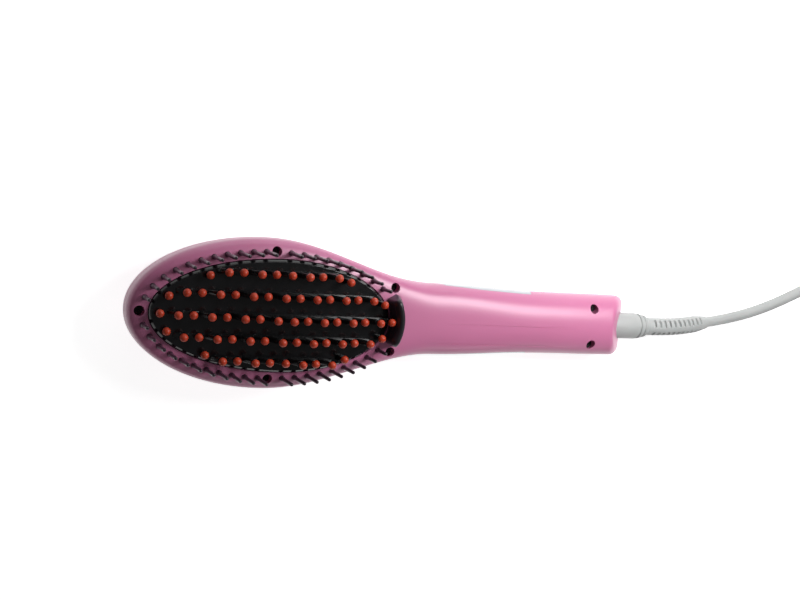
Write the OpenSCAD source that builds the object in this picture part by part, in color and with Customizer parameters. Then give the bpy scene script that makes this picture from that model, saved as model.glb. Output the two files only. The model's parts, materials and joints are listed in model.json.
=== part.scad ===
// Heated hair straightener brush with a swivelling mains lead, in millimetres.
// It lies on its back with the bristles up. The origin is on the surface it lies on,
// under the middle of the brush. X runs from the tip of the head towards the lead.
// Inside placed(), x is the distance from the tip and z the height above the rim's face.

/* [Brush] */
// Length of the brush without its lead
brush_l = 275; // [260:1:290]
// Width of the head at its widest
head_w = 74.6; // [72:0.2:80]
// Distance from the tip to the widest place of the head
head_mid = 69; // [66:1:74]
// Width where the head has run out into the handle
neck_w = 37; // [35:0.5:40]
// Width of the handle
handle_w = 33; // [32:0.5:36]
// Distance from the tip to the end of the neck
neck_at = 160; // [154:1:166]
// Distance from the tip to where the handle has its own width
slim_at = 230; // [215:1:240]
// Height of the rim's face above the surface that the brush lies on
rim_h = 28; // [27.8:0.1:28.2]
// Height of the front shell, from the seam to the rim's face
front_h = 12; // [11.6:0.1:12.4]
// Depth of the back shell at the head, under the seam
head_back_h = 16.4; // [16.2:0.1:16.8]
// Depth of the back shell at the control panel
neck_back_h = 13.4; // [13.2:0.1:14]
// Depth of the back shell at the end of the handle
handle_back_h = 16.2; // [16.1:0.1:16.6]
// Wall of both shells
wall = 2.4; // [2:0.1:2.6]
// Open line between the two shells
seam_gap = 0.2; // [0.1:0.05:0.4]
// Corner radius of the handle's end, seen from above
end_r = 5; // [4:0.5:6]

/* [Heating plate] */
// Distance from the tip to the middle of the plate
plate_x = 76; // [75:0.5:77]
// Reach of the plate towards the tip
plate_front = 66.5; // [65:0.5:67]
// Reach of the plate towards the handle
plate_rear = 55.5; // [54:0.5:57]
// Width of the rim beside the plate
rim_side = 9.5; // [9.3:0.1:10.5]
// Height of the plate's face above the rim
plate_top = 1.6; // [1:0.1:2]
// Distance between pins in a row
pin_pitch = 7.73; // [7.5:0.01:7.8]
// Height of the tallest ball above the rim
tallest_pin = 20.9; // [19:0.1:22]
// How much lower every second ball is
pin_step = 3.2; // [2:0.1:4]
// Diameter of a ball
ball_d = 4; // [3.6:0.1:4.4]
// Diameter of a pin under its ball
pin_d = 1.8; // [1.4:0.1:2.2]
// Thickness of a saw-toothed fin
fin_w = 2.6; // [2:0.1:3]
// Slit between the plate and the rim
plate_gap = 0.35; // [0.25:0.05:0.5]

/* [Bristles] */
// Reach of the bristle oval along the brush, each way from its middle
bristle_reach = 65; // [64.5:0.5:65.5]
// Distance of the bristle oval from the side of the head
bristle_in = 6.1; // [5.9:0.1:6.3]
// Distance from the tip to the middle of the bristle oval
bristle_x = 71; // [70.5:0.5:71.5]
// Distance between bristles along the oval
bristle_pitch = 6.55; // [6.4:0.05:6.65]
// Height of the tallest bristle above the rim
bristle_h = 15.8; // [14:0.2:18]
// Diameter of a bristle at its foot
bristle_d = 2.6; // [2.2:0.1:2.8]

/* [Screws] */
// Diameter of the recess that a housing screw lies in
recess_d = 5; // [4.8:0.1:5.2]
// Diameter of a housing screw's thread
screw_d = 2.2; // [2:0.1:2.4]
// Distance of the handle screws from the handle's end
handle_screw_in = 23.2; // [22.4:0.2:25]
// Distance between the two handle screws
handle_screw_span = 19.4; // [18.6:0.1:19.8]

/* [Control panel] */
// Distance from the tip to the near edge of the panel, at the handle's side
panel_at = 164; // [163:0.5:165]
// Length of the panel at the handle's side
panel_l = 53; // [52:0.5:54]
// How much longer the panel is at each end on the handle's back
panel_slant = 5; // [4:0.5:5.5]
// Thickness of the panel
panel_t = 1.3; // [1.2:0.05:1.4]
// Travel of a key
key_travel = 0.5; // [0.3:0.1:0.5]
// Gap round a key
key_gap = 0.25; // [0.2:0.05:0.35]
// How far a key stands out of the panel
key_out = 0.7; // [0.4:0.1:0.9]

/* [Lead] */
// Diameter of the lead
lead_d = 6; // [6:0.1:6.2]
// Diameter of the strain relief's collar
collar_d = 14.3; // [14:0.1:14.6]
// Turns of the stored coil
coil_turns = 7; // [7:1:7]
// Distance between turns, which leaves a small gap
coil_pitch = 6.5; // [6.5:0.1:6.8]
// Radius of the coil's innermost turn
coil_min_r = 24; // [24:0.5:26]
// Thickness of the strap round the coil
tie_t = 0.8; // [0.6:0.1:0.9]

/* [Hidden] */
$fn = 48;

FRONT = 1;
BACK = -1;
touch = 0.05;             // clearance of pieces that sit against each other
run_fit = 0.08;           // radial clearance of what turns or slides in a bore
swing_gap = 0.3;          // gap between pieces that move past each other
past = 1;                 // how far a cut runs past what it cuts

// Where things lie along the brush
seam_z = -front_h;
spine_start = 40;         // the shells round off towards a line from here ...
spine_end = 4;            // ... to this far from the handle's end
back_flat_to = 80;        // the bowl keeps its depth up to here
back_thin_at = 150;       // and is thin from here
back_thin_to = 205;       // to here
back_full_at = brush_l - 13;
end_lean = 0.8;           // the front of the handle's end leans in by this share of its height
lean_l = 35;              // and the lean builds up over this length
shell_levels = [0, 8, 18, 30, 42, 54, 66, 77, 86];
rim_flat_to = 118;        // the head's front is flat up to here
rim_round_in = 44;        // and as round as the handle after this
nose_step = 7.5;
side_steps = 25;

// Shape of the shells
function clamp(v, low, high) = min(max(v, low), high);
function ease(t) = (1 - cos(180 * clamp(t, 0, 1))) / 2;
function half_width(x) =
    x < head_mid ? head_w / 2 * sqrt(max(1 - pow((head_mid - x) / head_mid, 2), 0))
    : head_w / 2 + (neck_w - head_w) / 2 * ease((x - head_mid) / (neck_at - head_mid))
      + (handle_w - neck_w) / 2 * ease((x - neck_at) / (slim_at - neck_at));
function back_depth(x) = head_back_h
    + (neck_back_h - head_back_h) * ease((x - back_flat_to) / (back_thin_at - back_flat_to))
    + (handle_back_h - neck_back_h) * ease((x - back_thin_to) / (back_full_at - back_thin_to));
function depth(x, side) = side == FRONT ? front_h : back_depth(x);
// Exponent of the rounded section: the head's front is flat, the rest is rounder
function fullness(x, side) = side == FRONT
    ? 5 - 2.2 * ease((x - rim_flat_to) / rim_round_in)
    : 2.4 + 0.2 * ease((x - 100) / 60);

function corner_r(inset) = max(end_r - inset, 1);
function corner_x(inset) = brush_l - inset - corner_r(inset);
// One side of the outline, from the tip to the handle's end
function side_points(inset) = concat(
    [for (a = [nose_step:nose_step:90 - nose_step])
        [head_mid - (head_mid - inset) * cos(a), (head_w / 2 - inset) * sin(a)]],
    [for (i = [0:side_steps - 1])
        let (x = head_mid + i * (corner_x(inset) - head_mid) / side_steps)
        [x, half_width(x) - inset]],
    [for (a = [0:22.5:90])
        [corner_x(inset) + corner_r(inset) * sin(a),
         half_width(brush_l) - inset - corner_r(inset) * (1 - cos(a))]]);
function outline(inset) = let (side = side_points(inset), n = len(side)) concat(
    [[inset, 0]], side,
    [for (i = [n - 1:-1:0]) [side[i][0], -side[i][1]]]);

function base_z(side) = seam_z + side * seam_gap / 2;
// A point of the shell's surface: p on the outline is drawn in towards the spine
function shell_point(p, phi, inset, side) =
    let (sx = clamp(p[0], spine_start, brush_l - inset - spine_end),
         n = fullness(sx, side), s = pow(cos(phi), 2 / n),
         h = depth(sx, side) - seam_gap / 2 - inset)
    leaned([sx + (p[0] - sx) * s, p[1] * s, base_z(side) + side * h * pow(sin(phi), 2 / n)]);
function leaned(p) = [p[0] - end_lean * max(p[2] - base_z(FRONT), 0)
    * clamp((p[0] - brush_l + lean_l) / lean_l, 0, 1), p[1], p[2]];
// Height of the back shell's surface over a place, for what stands on it
function back_z(x, y, inset) =
    let (sx = clamp(x, spine_start, brush_l), n = fullness(sx, BACK),
         s = norm([(sx - x) / (spine_start - inset), y / (half_width(sx) - inset)]))
    base_z(BACK) - (back_depth(sx) - seam_gap / 2 - inset)
        * pow(max(1 - pow(s, n), 0), 1 / n);
function front_z(x, y, inset) =
    let (n = fullness(x, FRONT), s = abs(y) / (half_width(x) - inset))
    base_z(FRONT) + (front_h - seam_gap / 2 - inset) * pow(max(1 - pow(s, n), 0), 1 / n);

module placed() {
    translate([-brush_l / 2, 0, rim_h]) children();
}

// Faces of a stack of closed rings of n points each, as triangles
function ring_faces(rings, n) = [for (r = [0:rings - 2]) for (k = [0:n - 1])
    let (a = r * n + k, b = r * n + (k + 1) % n)
    each [[a, a + n, b], [b, a + n, b + n]]];

// A shell's outer or inner form as a closed solid; skirt runs it past the seam
module shell_form(inset, side, skirt = 0) {
    rim = outline(inset);
    n = len(rim);
    side_count = (n - 1) / 2;
    rings = concat(
        skirt > 0 ? [[for (p = rim) [p[0], p[1], base_z(side) - side * skirt]]] : [],
        [for (phi = shell_levels) [for (p = rim) shell_point(p, phi, inset, side)]]);
    last = (len(rings) - 1) * n;
    walls = ring_faces(len(rings), n);
    floor_faces = concat([[0, 1, n - 1]],
        [for (i = [1:side_count - 1]) each [[i, i + 1, n - i], [i + 1, n - i - 1, n - i]]]);
    roof_faces = [for (f = floor_faces) [f[0] + last, f[2] + last, f[1] + last]];
    faces = concat(walls, floor_faces, roof_faces);
    polyhedron([for (r = rings) each r],
        side == FRONT ? [for (f = faces) [f[0], f[2], f[1]]] : faces);
}

// Section of a shell at x, for a rib that fills it
function section(x, inset, side) = [for (phi = [0:12:180])
    let (n = fullness(x, side), w = half_width(x) - inset, h = depth(x, side) - inset)
    [sign(cos(phi)) * w * pow(abs(cos(phi)), 2 / n),
     base_z(side) + side * h * pow(sin(phi), 2 / n)]];
module rib(x, thick, side) {
    translate([x, 0, 0]) rotate([90, 0, 90]) linear_extrude(thick)
        polygon(section(x, wall / 2, side));
}

// A strip of the back shell between two insets, from one angle to its mirror
function strip_point(x, phi, inset) =
    let (n = fullness(x, BACK), w = half_width(x) - inset,
         h = back_depth(x) - seam_gap / 2 - inset, c = cos(phi))
    [x, sign(c) * w * pow(abs(c), 2 / n), base_z(BACK) - h * pow(sin(phi), 2 / n)];
module strip(x0, x1, phi0, outer, inner, slant = 0) {
    steps = 6;
    arc = 12;
    n = 2 * (arc + 1);
    rows = [for (i = [0:steps]) concat(
        [for (k = [0:arc]) strip_row_point(i / steps, k / arc, x0, x1, phi0, outer, slant)],
        [for (k = [arc:-1:0]) strip_row_point(i / steps, k / arc, x0, x1, phi0, inner, slant)])];
    cap = [for (k = [0:arc - 1]) each [[k, k + 1, n - 1 - k], [k + 1, n - 2 - k, n - 1 - k]]];
    last = steps * n;
    faces = concat(ring_faces(steps + 1, n), cap,
        [for (f = cap) [f[0] + last, f[2] + last, f[1] + last]]);
    polyhedron([for (r = rows) each r], [for (f = faces) [f[0], f[2], f[1]]]);
}
function strip_row_point(u, v, x0, x1, phi0, inset, slant) =
    let (phi = phi0 + v * (180 - 2 * phi0), out = slant * sin(phi))
    strip_point(x0 - out + u * (x1 - x0 + 2 * out), phi, inset);

// ---- Heating plate and its pins ----
plate_w = head_w - 2 * rim_side;
row_pitch = plate_w / 5.2;
function plate_outline(grow) = [for (a = [0:5:355])
    let (reach = cos(a) > 0 ? plate_rear : plate_front)
    [plate_x + (reach + grow) * cos(a), (plate_w / 2 + grow) * sin(a)]];
flange_out = 1.2;         // the flange is this much wider than the rim's opening
flange_top = -3.8;
flange_t = 1.5;
plate_under = flange_top - flange_t;
plate_slope = 1.2;        // the plate's raised side leans in by this much
rows = [-2, -1, 0, 1, 2];
row_count = [16, 15, 10];         // pins in a middle, next and outer row
row_start = [13.8, 17.5, 36.5];   // distance of a row's first pin from the tip
row_drop = [0, 2.2, 3.4];         // how much lower a row is than the middle one
end_pin_in = 2.2;                 // the end pins of a side row stand in by this much
peak_x = 78;
bow = 9.6;                // how much lower a ball is, bow_reach nearer to the tip than the peak
rear_bow = 7.6;           // and as far behind the peak
bow_reach = 58;
neck_l = 4.6;             // a pin stands this far out of its tooth, up to the ball's middle
least_neck = 1.2;         // and a ball stays this far above the plate
valley = 0.35;            // a notch between teeth is this share of their height
end_foot = 0.95;          // the outermost teeth reach this far past their pins
fin_low = plate_top + touch;

function pin_x(row, i) = row_start[abs(row)] + i * pin_pitch;
function from_end(row, i) = min(i, row_count[abs(row)] - 1 - i);
function pin_y(row, i) = row * row_pitch
    - (row != 0 && from_end(row, i) == 0 ? sign(row) * end_pin_in : 0);
function bow_at(x) = let (away = abs(x - peak_x) / bow_reach)
    x < peak_x ? bow * pow(away, 1.15) : rear_bow * pow(away, 1.5);
function ball_top(row, i) = max(plate_top + ball_d + least_neck,
    tallest_pin - bow_at(pin_x(row, i)) - row_drop[abs(row)]
        - (from_end(row, i) % 2 == 0 ? pin_step : 0));
function ball_z(row, i) = ball_top(row, i) - ball_d / 2;
function tooth_z(row, i) = max(ball_z(row, i) - neck_l, plate_top + 0.6);
function notch_z(row, i) = plate_top
    + valley * (min(tooth_z(row, i), tooth_z(row, i + 1)) - plate_top);

// Guard at the handle end of the plate: a bent lip round this centre
guard_r = 28;
guard_out = 139.3;        // distance from the tip to its outer edge
guard_x = guard_out - guard_r;
guard_half_angle = 30;
guard_h = 13;
guard_wide = 7.2;         // it stands on the rim, clear of the last balls
peg_r = 1.5;
peg_at = guard_r - 3.2;
peg_angle = 20;

// ---- Screws of the two shells ----
side_screw_y = head_w / 2 - 5.8;
neck_screw_y = neck_w / 2 - 2.1;
head_screw_at = [[5.4, 0], [bristle_x - 0.4, side_screw_y], [bristle_x - 0.4, -side_screw_y],
    [134.3, neck_screw_y], [134.3, -neck_screw_y]];
handle_screw_at = [for (s = [-1, 1]) [brush_l - handle_screw_in, s * handle_screw_span / 2]];
recess_floor = -7;
boss_top = -3.7;
boss_end = -10;
boss_r = recess_d / 2 + 0.9;
post_r = 2.9;
post_top = boss_end - swing_gap;
thread_end = -17;
screw_head_h = 1.6;

// ---- Bristles ----
bristle_side = head_w / 2 - bristle_in;
// Running length along the oval for each degree, from the tip end
function oval(a, grow) = [bristle_x - (bristle_reach + grow) * cos(a), (bristle_side + grow) * sin(a)];
oval_lengths = [for (a = 0, s = 0; a <= 180;
    s = s + norm(oval(a + 1, 0) - oval(a, 0)), a = a + 1) [s, a]];
half_oval = max([for (m = oval_lengths) m[0]]);
bristles_before = 11;     // bristles on each side between the tip and the side screw
bristles_after = 9;       // and past it
before_screw = 5.6;       // distance of the nearest bristles from the side screw
after_screw = 7;
bristle_places = concat(
    [for (i = [0:bristles_before - 1]) half_oval / 2 - before_screw - i * bristle_pitch],
    [for (i = [0:bristles_after - 1]) half_oval / 2 + after_screw + i * bristle_pitch]);
bristle_at = [for (s = bristle_places, side = [-1, 1])
    let (p = oval(lookup(s, oval_lengths), 0)) [p[0], side * p[1]]];
bristle_bow = 6.2;
ring_top = -4.9;
ring_t = 1.6;
ring_w = 2.8;
ring_clear = 1.9;         // the strips stay this far inside the wall, where it closes in
ridge_w = 1;              // ridge inside the front shell that the strips sit against
ridge_top = -2;
function bristle_tip(x) = bristle_h - bristle_bow * pow((x - bristle_x) / bristle_reach, 2);

// ---- Control panel, keys and boards ----
panel_edge = 3;           // angle from the seam at which the panel begins
pocket_gap = 0.15;
lens_x = [panel_at + 5, panel_at + 26];
lens_edge = 60;
power_at = [panel_at + 48, 0];
power_r = 4.2;
step_key_x = panel_at + 36.5;
step_key_y = 5.6;
step_key_size = [8.4, 7.6];
step_key_r = 2;
flange_gap = 0.2;
key_flange_t = 0.8;
key_flange_out = 0.9;
window_x = [panel_at + 3, panel_at + 54.2];
window_y = 11.2;
key_back = panel_t + flange_gap + key_flange_t;
display_z = -17.5;        // underside of the display board
board_t = 1.4;
switch_h = 3.4;
switch_w = 6;
plunger_r = 1.6;
switch_roof = 0.5;
plunger_top = display_z - switch_roof - key_travel - swing_gap;
display_x = [panel_at - 3, panel_at + 60.5];
display_w = 20;
display_post_x = [panel_at, panel_at + 57.5];
display_post_y = 6;
main_z = -9.6;            // underside of the main board
main_x = [panel_at - 6, brush_l - 36];
main_w = 21;
main_post_x = [main_x[0] + 4.5, main_x[1] - 5];
main_post_y = 8;
board_post_r = 2.2;
board_screw_r = 0.85;
board_screw_head = [1.8, 1.2];    // radius, height
board_screw_l = 5;
screw_spare = 0.6;        // a screw hole is this much deeper than its screw
capacitor_size = [13, 6, 4.4];
chip_size = [10, 6, 1.8];
triac_size = [12, 10, 3.6];
fuse_size = [10, 1.8];            // length, radius
triac_in = 37;                    // distances from the main board's end
buzzer_in = 31;
fuse_in = 20;
buzzer_size = [4, 3.4];           // radius, height
ribbon_w = 8;
ribbon_foot = 3;
ribbon_t = 0.4;
ribbon_x = panel_at + 4;
lcd_size = [lens_x[1] - lens_x[0] - 1, 16, 3.4];
key_names_at = [power_at, [step_key_x, step_key_y], [step_key_x, -step_key_y]];

// ---- Swivel ----
seat_r = 7.5;
seat_x = [brush_l - 16.2, brush_l - 10.2];    // clear of the end, which leans in
seat_rib = [0.7, 4];              // distance of its rib from the seat's start, thickness
seat_nose = [6.6, brush_l - 8.7]; // radius, end
bush_r = 5.6;
spool_flange = [7, 3.4];          // radius, length
spool_end = brush_l - 8;
spool_core_r = 3;
spool_core_l = 13;
spool_bore_r = 2.55;
ring_r = 4.4;
ring_l = 3;
ring_x = [brush_l - 29, brush_l - 24];
holder_x = [brush_l - 31, brush_l - 19.5];
holder_top = -20.2;

// ---- Strain relief: measured from the handle's end ----
relief_line = [[15.6, 0, 0], [24, 0, 0], [34, 0.3, -0.5], [42, 0.8, -1.7], [51, 1.6, -3.9],
    [56, 2.1, -5.3], [60, 2.5, -6.5]];
collar_from = spool_end - brush_l + 0.3;
collar_l = 9.2;
sleeve_radii = [[16, 4.9], [52, 4.7], [60, 3.7]];  // at distances from the handle's end
rib_depth = 0.5;
stem_r = 2.5;

// ---- Lead: x from the handle's end, z above the surface ----
axis_z = rim_h + seam_z;
relief_tip = [60, 2.5, axis_z - 6.5];
coil_x = 196.5;
coil_low = tie_t + 0.2 + lead_d / 2;
coil_lead = 6;            // the coil's ends run straight for this long
coil_max_r = coil_min_r + coil_turns / 2 * coil_pitch;
run_line = [relief_tip, [66, 3, axis_z - 8.4], [73, 3.8, 5.6], [82, 5.2, 4], [94, 8, 3.2],
    [108, 12.6, 3], [122, 18.4, 3], [136, 25, 3], [150, 32, 3], [164, 38.6, 3.2],
    [176, 43.4, 3.6], [183, coil_max_r - 1.1, coil_low],
    [coil_x - coil_lead - 2.5, coil_max_r - 0.1, coil_low],
    [coil_x - coil_lead, coil_max_r, coil_low]];
coil_rings = 24;
coil_sides = 6;
climb = 0.5;              // turns in which the coil climbs to its upper layer
plug_from = [284, 41, 7];
tail_line = [[coil_x + coil_lead, coil_max_r, coil_low + coil_pitch],
    [213, coil_max_r - 0.3, coil_low + coil_pitch - 0.3], [224, 45.7, 8.7], [235, 44.5, 6.2],
    [246, 43.1, 4.2], [257, 42, 3.7], [267, 41.3, 5], [276, 41, 6.6], plug_from];
tube_sides = 8;
plug_relief_l = 16;
plug_neck_l = 12;
plug_l = 34;
plug_w = 35;
plug_h = 13.7;
plug_neck_w = 13;
plug_pin_r = 2;
plug_pin_l = 19;
plug_pin_span = 18.6;
plug_pin_in = 9;
pin_sleeve_l = 10;        // a pin's insulated, thinner part outside the plug
pin_sleeve_r = 1.8;
pin_nose = 1;

function unit(v) = v / norm(v);
function spline(p, i, t) =
    let (a = p[max(i - 1, 0)], b = p[i], c = p[i + 1], d = p[min(i + 2, len(p) - 1)])
    0.5 * (2 * b + (c - a) * t + (2 * a - 5 * b + 4 * c - d) * t * t
        + (3 * b - a - 3 * c + d) * t * t * t);
function smooth(p, k) = concat(
    [for (i = [0:len(p) - 2], j = [0:k - 1]) spline(p, i, j / k)], [p[len(p) - 1]]);
function tangent(p, i) = unit(p[min(i + 1, len(p) - 1)] - p[max(i - 1, 0)]);
function tube_ring(c, t, r, n) = let (s = unit(cross(t, [0, 0, 1])), u = cross(s, t))
    [for (k = [0:n - 1]) c + r * (cos(360 * k / n) * s + sin(360 * k / n) * u)];
function path_length(p) = len(p) < 2 ? 0
    : [for (i = 0, s = 0; i < len(p); s = s + (i + 1 < len(p) ? norm(p[i + 1] - p[i]) : 0),
        i = i + 1) s][len(p) - 1];

// A tube along p; radii is one radius or a list with one for each point
module tube(p, radii, sides) {
    n = len(p);
    rings = [for (i = [0:n - 1])
        tube_ring(p[i], tangent(p, i), is_list(radii) ? radii[i] : radii, sides)];
    polyhedron([for (r = rings) each r], concat(
        [for (f = ring_faces(n, sides)) [f[0], f[2], f[1]]],
        [[for (k = [sides - 1:-1:0]) k]],
        [[for (k = [0:sides - 1]) (n - 1) * sides + k]]));
}
module from_end_face() {
    translate([brush_l / 2, 0, 0]) children();
}

// The coil spirals in on the surface, climbs, and spirals out again on top
function coil_point(turn) =
    let (r = coil_min_r + coil_pitch * abs(turn), a = 90 - 360 * (turn + coil_turns / 2),
         rise = ease((turn + climb / 2) / climb))
    [coil_x + r * cos(a), r * sin(a), coil_low + coil_pitch * rise];
coil_path = concat(
    [[coil_x - coil_lead, coil_max_r, coil_low]],
    [for (i = [0:coil_turns * coil_rings]) coil_point(i / coil_rings - coil_turns / 2)],
    [[coil_x + coil_lead, coil_max_r, coil_low + coil_pitch]]);
// Least gap between turns, measured on points that are over half a turn apart
coil_gap = min([for (i = [1:2:len(coil_path) - 2])
    min(concat([1000], [for (j = [i + coil_rings / 2:1:len(coil_path) - 2])
        norm(coil_path[i] - coil_path[j])]))]) - lead_d;
lead_length = path_length(smooth(run_line, 3)) + path_length(coil_path)
    + path_length(smooth(tail_line, 3));
echo(coil_gap = coil_gap, lead_length = lead_length);

// ================= Shells =================
module screw_recess(at) {
    translate([at[0], at[1], recess_floor]) cylinder(h = -recess_floor + past, d = recess_d);
    translate([at[0], at[1], boss_end - past])
        cylinder(h = recess_floor - boss_end + 2 * past, d = screw_d + 0.8);
}

module front_housing() color("hotpink") placed() difference() {
    union() {
        difference() {
            shell_form(0, FRONT);
            shell_form(wall, FRONT, past);
        }
        for (at = concat(head_screw_at, handle_screw_at))
            translate([at[0], at[1], boss_end]) cylinder(h = boss_top - boss_end, r = boss_r);
        translate([0, 0, ring_top + touch]) linear_extrude(ridge_top - ring_top) difference() {
            polygon([for (a = [0:5:355]) oval(a, ridge_w / 2)]);
            polygon([for (a = [0:5:355]) oval(a, -ridge_w / 2)]);
        }
        for (x = main_post_x, side = [-1, 1])
            translate([x, side * main_post_y, main_z + board_t])
                cylinder(h = front_z(x, main_post_y, wall / 2) - main_z - board_t, r = board_post_r);
        difference() {
            rib(seat_x[0] + seat_rib[0], seat_rib[1], FRONT);
            translate([seat_x[0], 0, seam_z]) rotate([0, 90, 0])
                cylinder(h = 10, r = seat_r + touch);
        }
    }
    translate([0, 0, seam_z]) linear_extrude(front_h + past)
        polygon(plate_outline(plate_gap));
    for (at = bristle_at)
        translate([at[0], at[1], ring_top]) cylinder(h = 10, d = bristle_d + 0.3, $fn = 24);
    for (at = concat(head_screw_at, handle_screw_at)) screw_recess(at);
    for (x = main_post_x, side = [-1, 1])
        translate([x, side * main_post_y, main_z])
            cylinder(h = board_screw_l + screw_spare, r = board_screw_r + touch, $fn = 24);
    for (side = [-1, 1]) guard_peg(side, touch, past);
    lead_hole();
}

module lead_hole() {
    translate([brush_l - 10, 0, seam_z]) rotate([0, 90, 0])
        cylinder(h = 10 + past, d = collar_d + 2 * swing_gap);
}

module back_housing() color("hotpink") placed() difference() {
    union() {
        difference() {
            shell_form(0, BACK);
            shell_form(wall, BACK, past);
        }
        for (at = concat(head_screw_at, handle_screw_at))
            standing_post(at[0], at[1], post_top, post_r);
        for (x = display_post_x, side = [-1, 1])
            standing_post(x, side * display_post_y, display_z, board_post_r);
        for (x = gasket_post_x, side = [-1, 1])
            standing_post(x, side * gasket_post_y, gasket_under, board_post_r);
        for (x = shield_post_x) standing_post(x, 0, shield_z, board_post_r);
        standing_pad(holder_x[0] + 2, holder_x[1] - 2, 4, holder_top - holder_h);
        difference() {
            rib(seat_x[0] + seat_rib[0], seat_rib[1], BACK);
            translate([seat_x[0], 0, seam_z]) rotate([0, 90, 0])
                cylinder(h = 10, r = seat_r + touch);
        }
    }
    translate([-past, -head_w, -rim_h - 5]) cube([brush_l + 2 * past, 2 * head_w, 5]);
    strip(panel_at - pocket_gap, panel_at + panel_l + pocket_gap, panel_edge - 0.4,
        -past, panel_t + touch, panel_slant);
    translate([window_x[0], -window_y, -rim_h])
        cube([window_x[1] - window_x[0], 2 * window_y, -seam_z - 2]);
    for (at = concat(head_screw_at, handle_screw_at))
        translate([at[0], at[1], thread_end - 0.6])
            cylinder(h = post_top - thread_end + past, d = screw_d + 2 * touch);
    for (x = display_post_x, side = [-1, 1])
        translate([x, side * display_post_y, display_z + board_t - board_screw_l - screw_spare])
            cylinder(h = board_screw_l, r = board_screw_r + touch, $fn = 24);
    lead_hole();
}

// A post and a pad that stand on the inside of the back shell
module standing_post(x, y, top, r) {
    foot = back_z(x, y, wall / 2);
    translate([x, y, foot]) cylinder(h = top - foot, r = r);
}
module standing_pad(x0, x1, half, top) {
    foot = back_z(x0, half, wall / 2);
    translate([x0, -half, foot]) cube([x1 - x0, 2 * half, top - foot]);
}

module screws(places) {
    for (at = places) translate([at[0], at[1], 0]) difference() {
        union() {
            translate([0, 0, recess_floor]) cylinder(h = screw_head_h, d = recess_d - 0.5);
            translate([0, 0, thread_end]) cylinder(h = recess_floor - thread_end, d = screw_d);
        }
        for (turn = [0, 90]) rotate(turn)
            translate([-1.3, -0.25, recess_floor + screw_head_h - 0.8]) cube([2.6, 0.5, 1]);
    }
}
module head_screws() color("dimgray") placed() screws(head_screw_at);
module handle_screws() color("dimgray") placed() screws(handle_screw_at);

// ================= Bristles =================
module bristle_strips() color([0.1, 0.08, 0.1]) placed()
    translate([0, 0, ring_top - ring_t]) linear_extrude(ring_t) difference() {
        intersection() {
            polygon([for (a = [0:5:355]) oval(a, ring_w / 2)]);
            polygon(outline(wall + ring_clear));
        }
        polygon([for (a = [0:5:355]) oval(a, -ring_w / 2)]);
        for (at = head_screw_at) translate(at) circle(r = boss_r + 0.4);
    }
module cooling_bristles() color([0.1, 0.08, 0.1]) placed()
    for (at = bristle_at) translate([at[0], at[1], ring_top + touch])
        bristle(bristle_tip(at[0]) - ring_top - touch);
module bristle(h) {
    foot = 0.8 - ring_top;        // the foot's end stands this far up
    shank = foot + 1.4;
    tip_r = bristle_d / 2 - 0.4;
    cylinder(h = foot, d = bristle_d, $fn = 24);
    translate([0, 0, foot]) cylinder(h = 1.4, d1 = bristle_d, d2 = bristle_d - 0.6, $fn = 24);
    translate([0, 0, shank])
        cylinder(h = h - shank - tip_r, r1 = bristle_d / 2 - 0.3, r2 = tip_r, $fn = 24);
    translate([0, 0, h - tip_r]) sphere(r = tip_r, $fn = 24);
}

// ================= Heated plate =================
module heating_plate() color([0.06, 0.06, 0.07]) placed() {
    translate([0, 0, plate_under]) linear_extrude(flange_t) flange_shape();
    translate([0, 0, flange_top - touch]) linear_extrude(-flange_top + 0.2)
        polygon(plate_outline(0));
    translate([0, 0, 0.1]) plate_crown();
    for (x = clamp_x) translate([x, 0, clamp_z]) cylinder(h = plate_under - clamp_z, r = 3);
}
// The flange's outline, cut out round the screw bosses
module flange_shape() difference() {
    polygon(plate_outline(flange_out));
    for (at = head_screw_at) translate(at) circle(r = boss_r + swing_gap);
}
// The raised face with its sloping side
module plate_crown() {
    low = plate_outline(0);
    high = plate_outline(-plate_slope);
    n = len(low);
    polyhedron(concat([for (p = low) [p[0], p[1], 0]],
        [for (p = high) [p[0], p[1], plate_top - 0.1]]),
        concat(ring_faces(2, n),
            [[for (k = [0:n - 1]) k]], [[for (k = [n - 1:-1:0]) n + k]]));
}
module plate_fins() color([0.08, 0.08, 0.09]) placed() for (row = rows) fin(row);
// One row's saw teeth, with a tooth under every pin
module fin(row) {
    last = row_count[abs(row)] - 1;
    half = pin_pitch / 2;
    first_tooth = row == 0 ? 0 : 1;
    last_tooth = row == 0 ? last : last - 1;
    foot = row == 0 ? end_foot : half;
    translate([0, row * row_pitch + fin_w / 2, 0]) rotate([90, 0, 0]) linear_extrude(fin_w)
        polygon(concat(
            [[pin_x(row, first_tooth) - foot, fin_low],
             [pin_x(row, first_tooth) - foot, plate_top + 0.4]],
            [for (i = [first_tooth:last_tooth]) each concat(
                [[pin_x(row, i) - pin_d / 2, tooth_z(row, i)],
                 [pin_x(row, i) + pin_d / 2, tooth_z(row, i)]],
                i < last_tooth ? [[pin_x(row, i) + half, notch_z(row, i)]] : [])],
            [[pin_x(row, last_tooth) + foot, plate_top + 0.4],
             [pin_x(row, last_tooth) + foot, fin_low]]));
    for (i = row == 0 ? [] : [0, last]) end_tooth(row, i);
}
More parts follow.
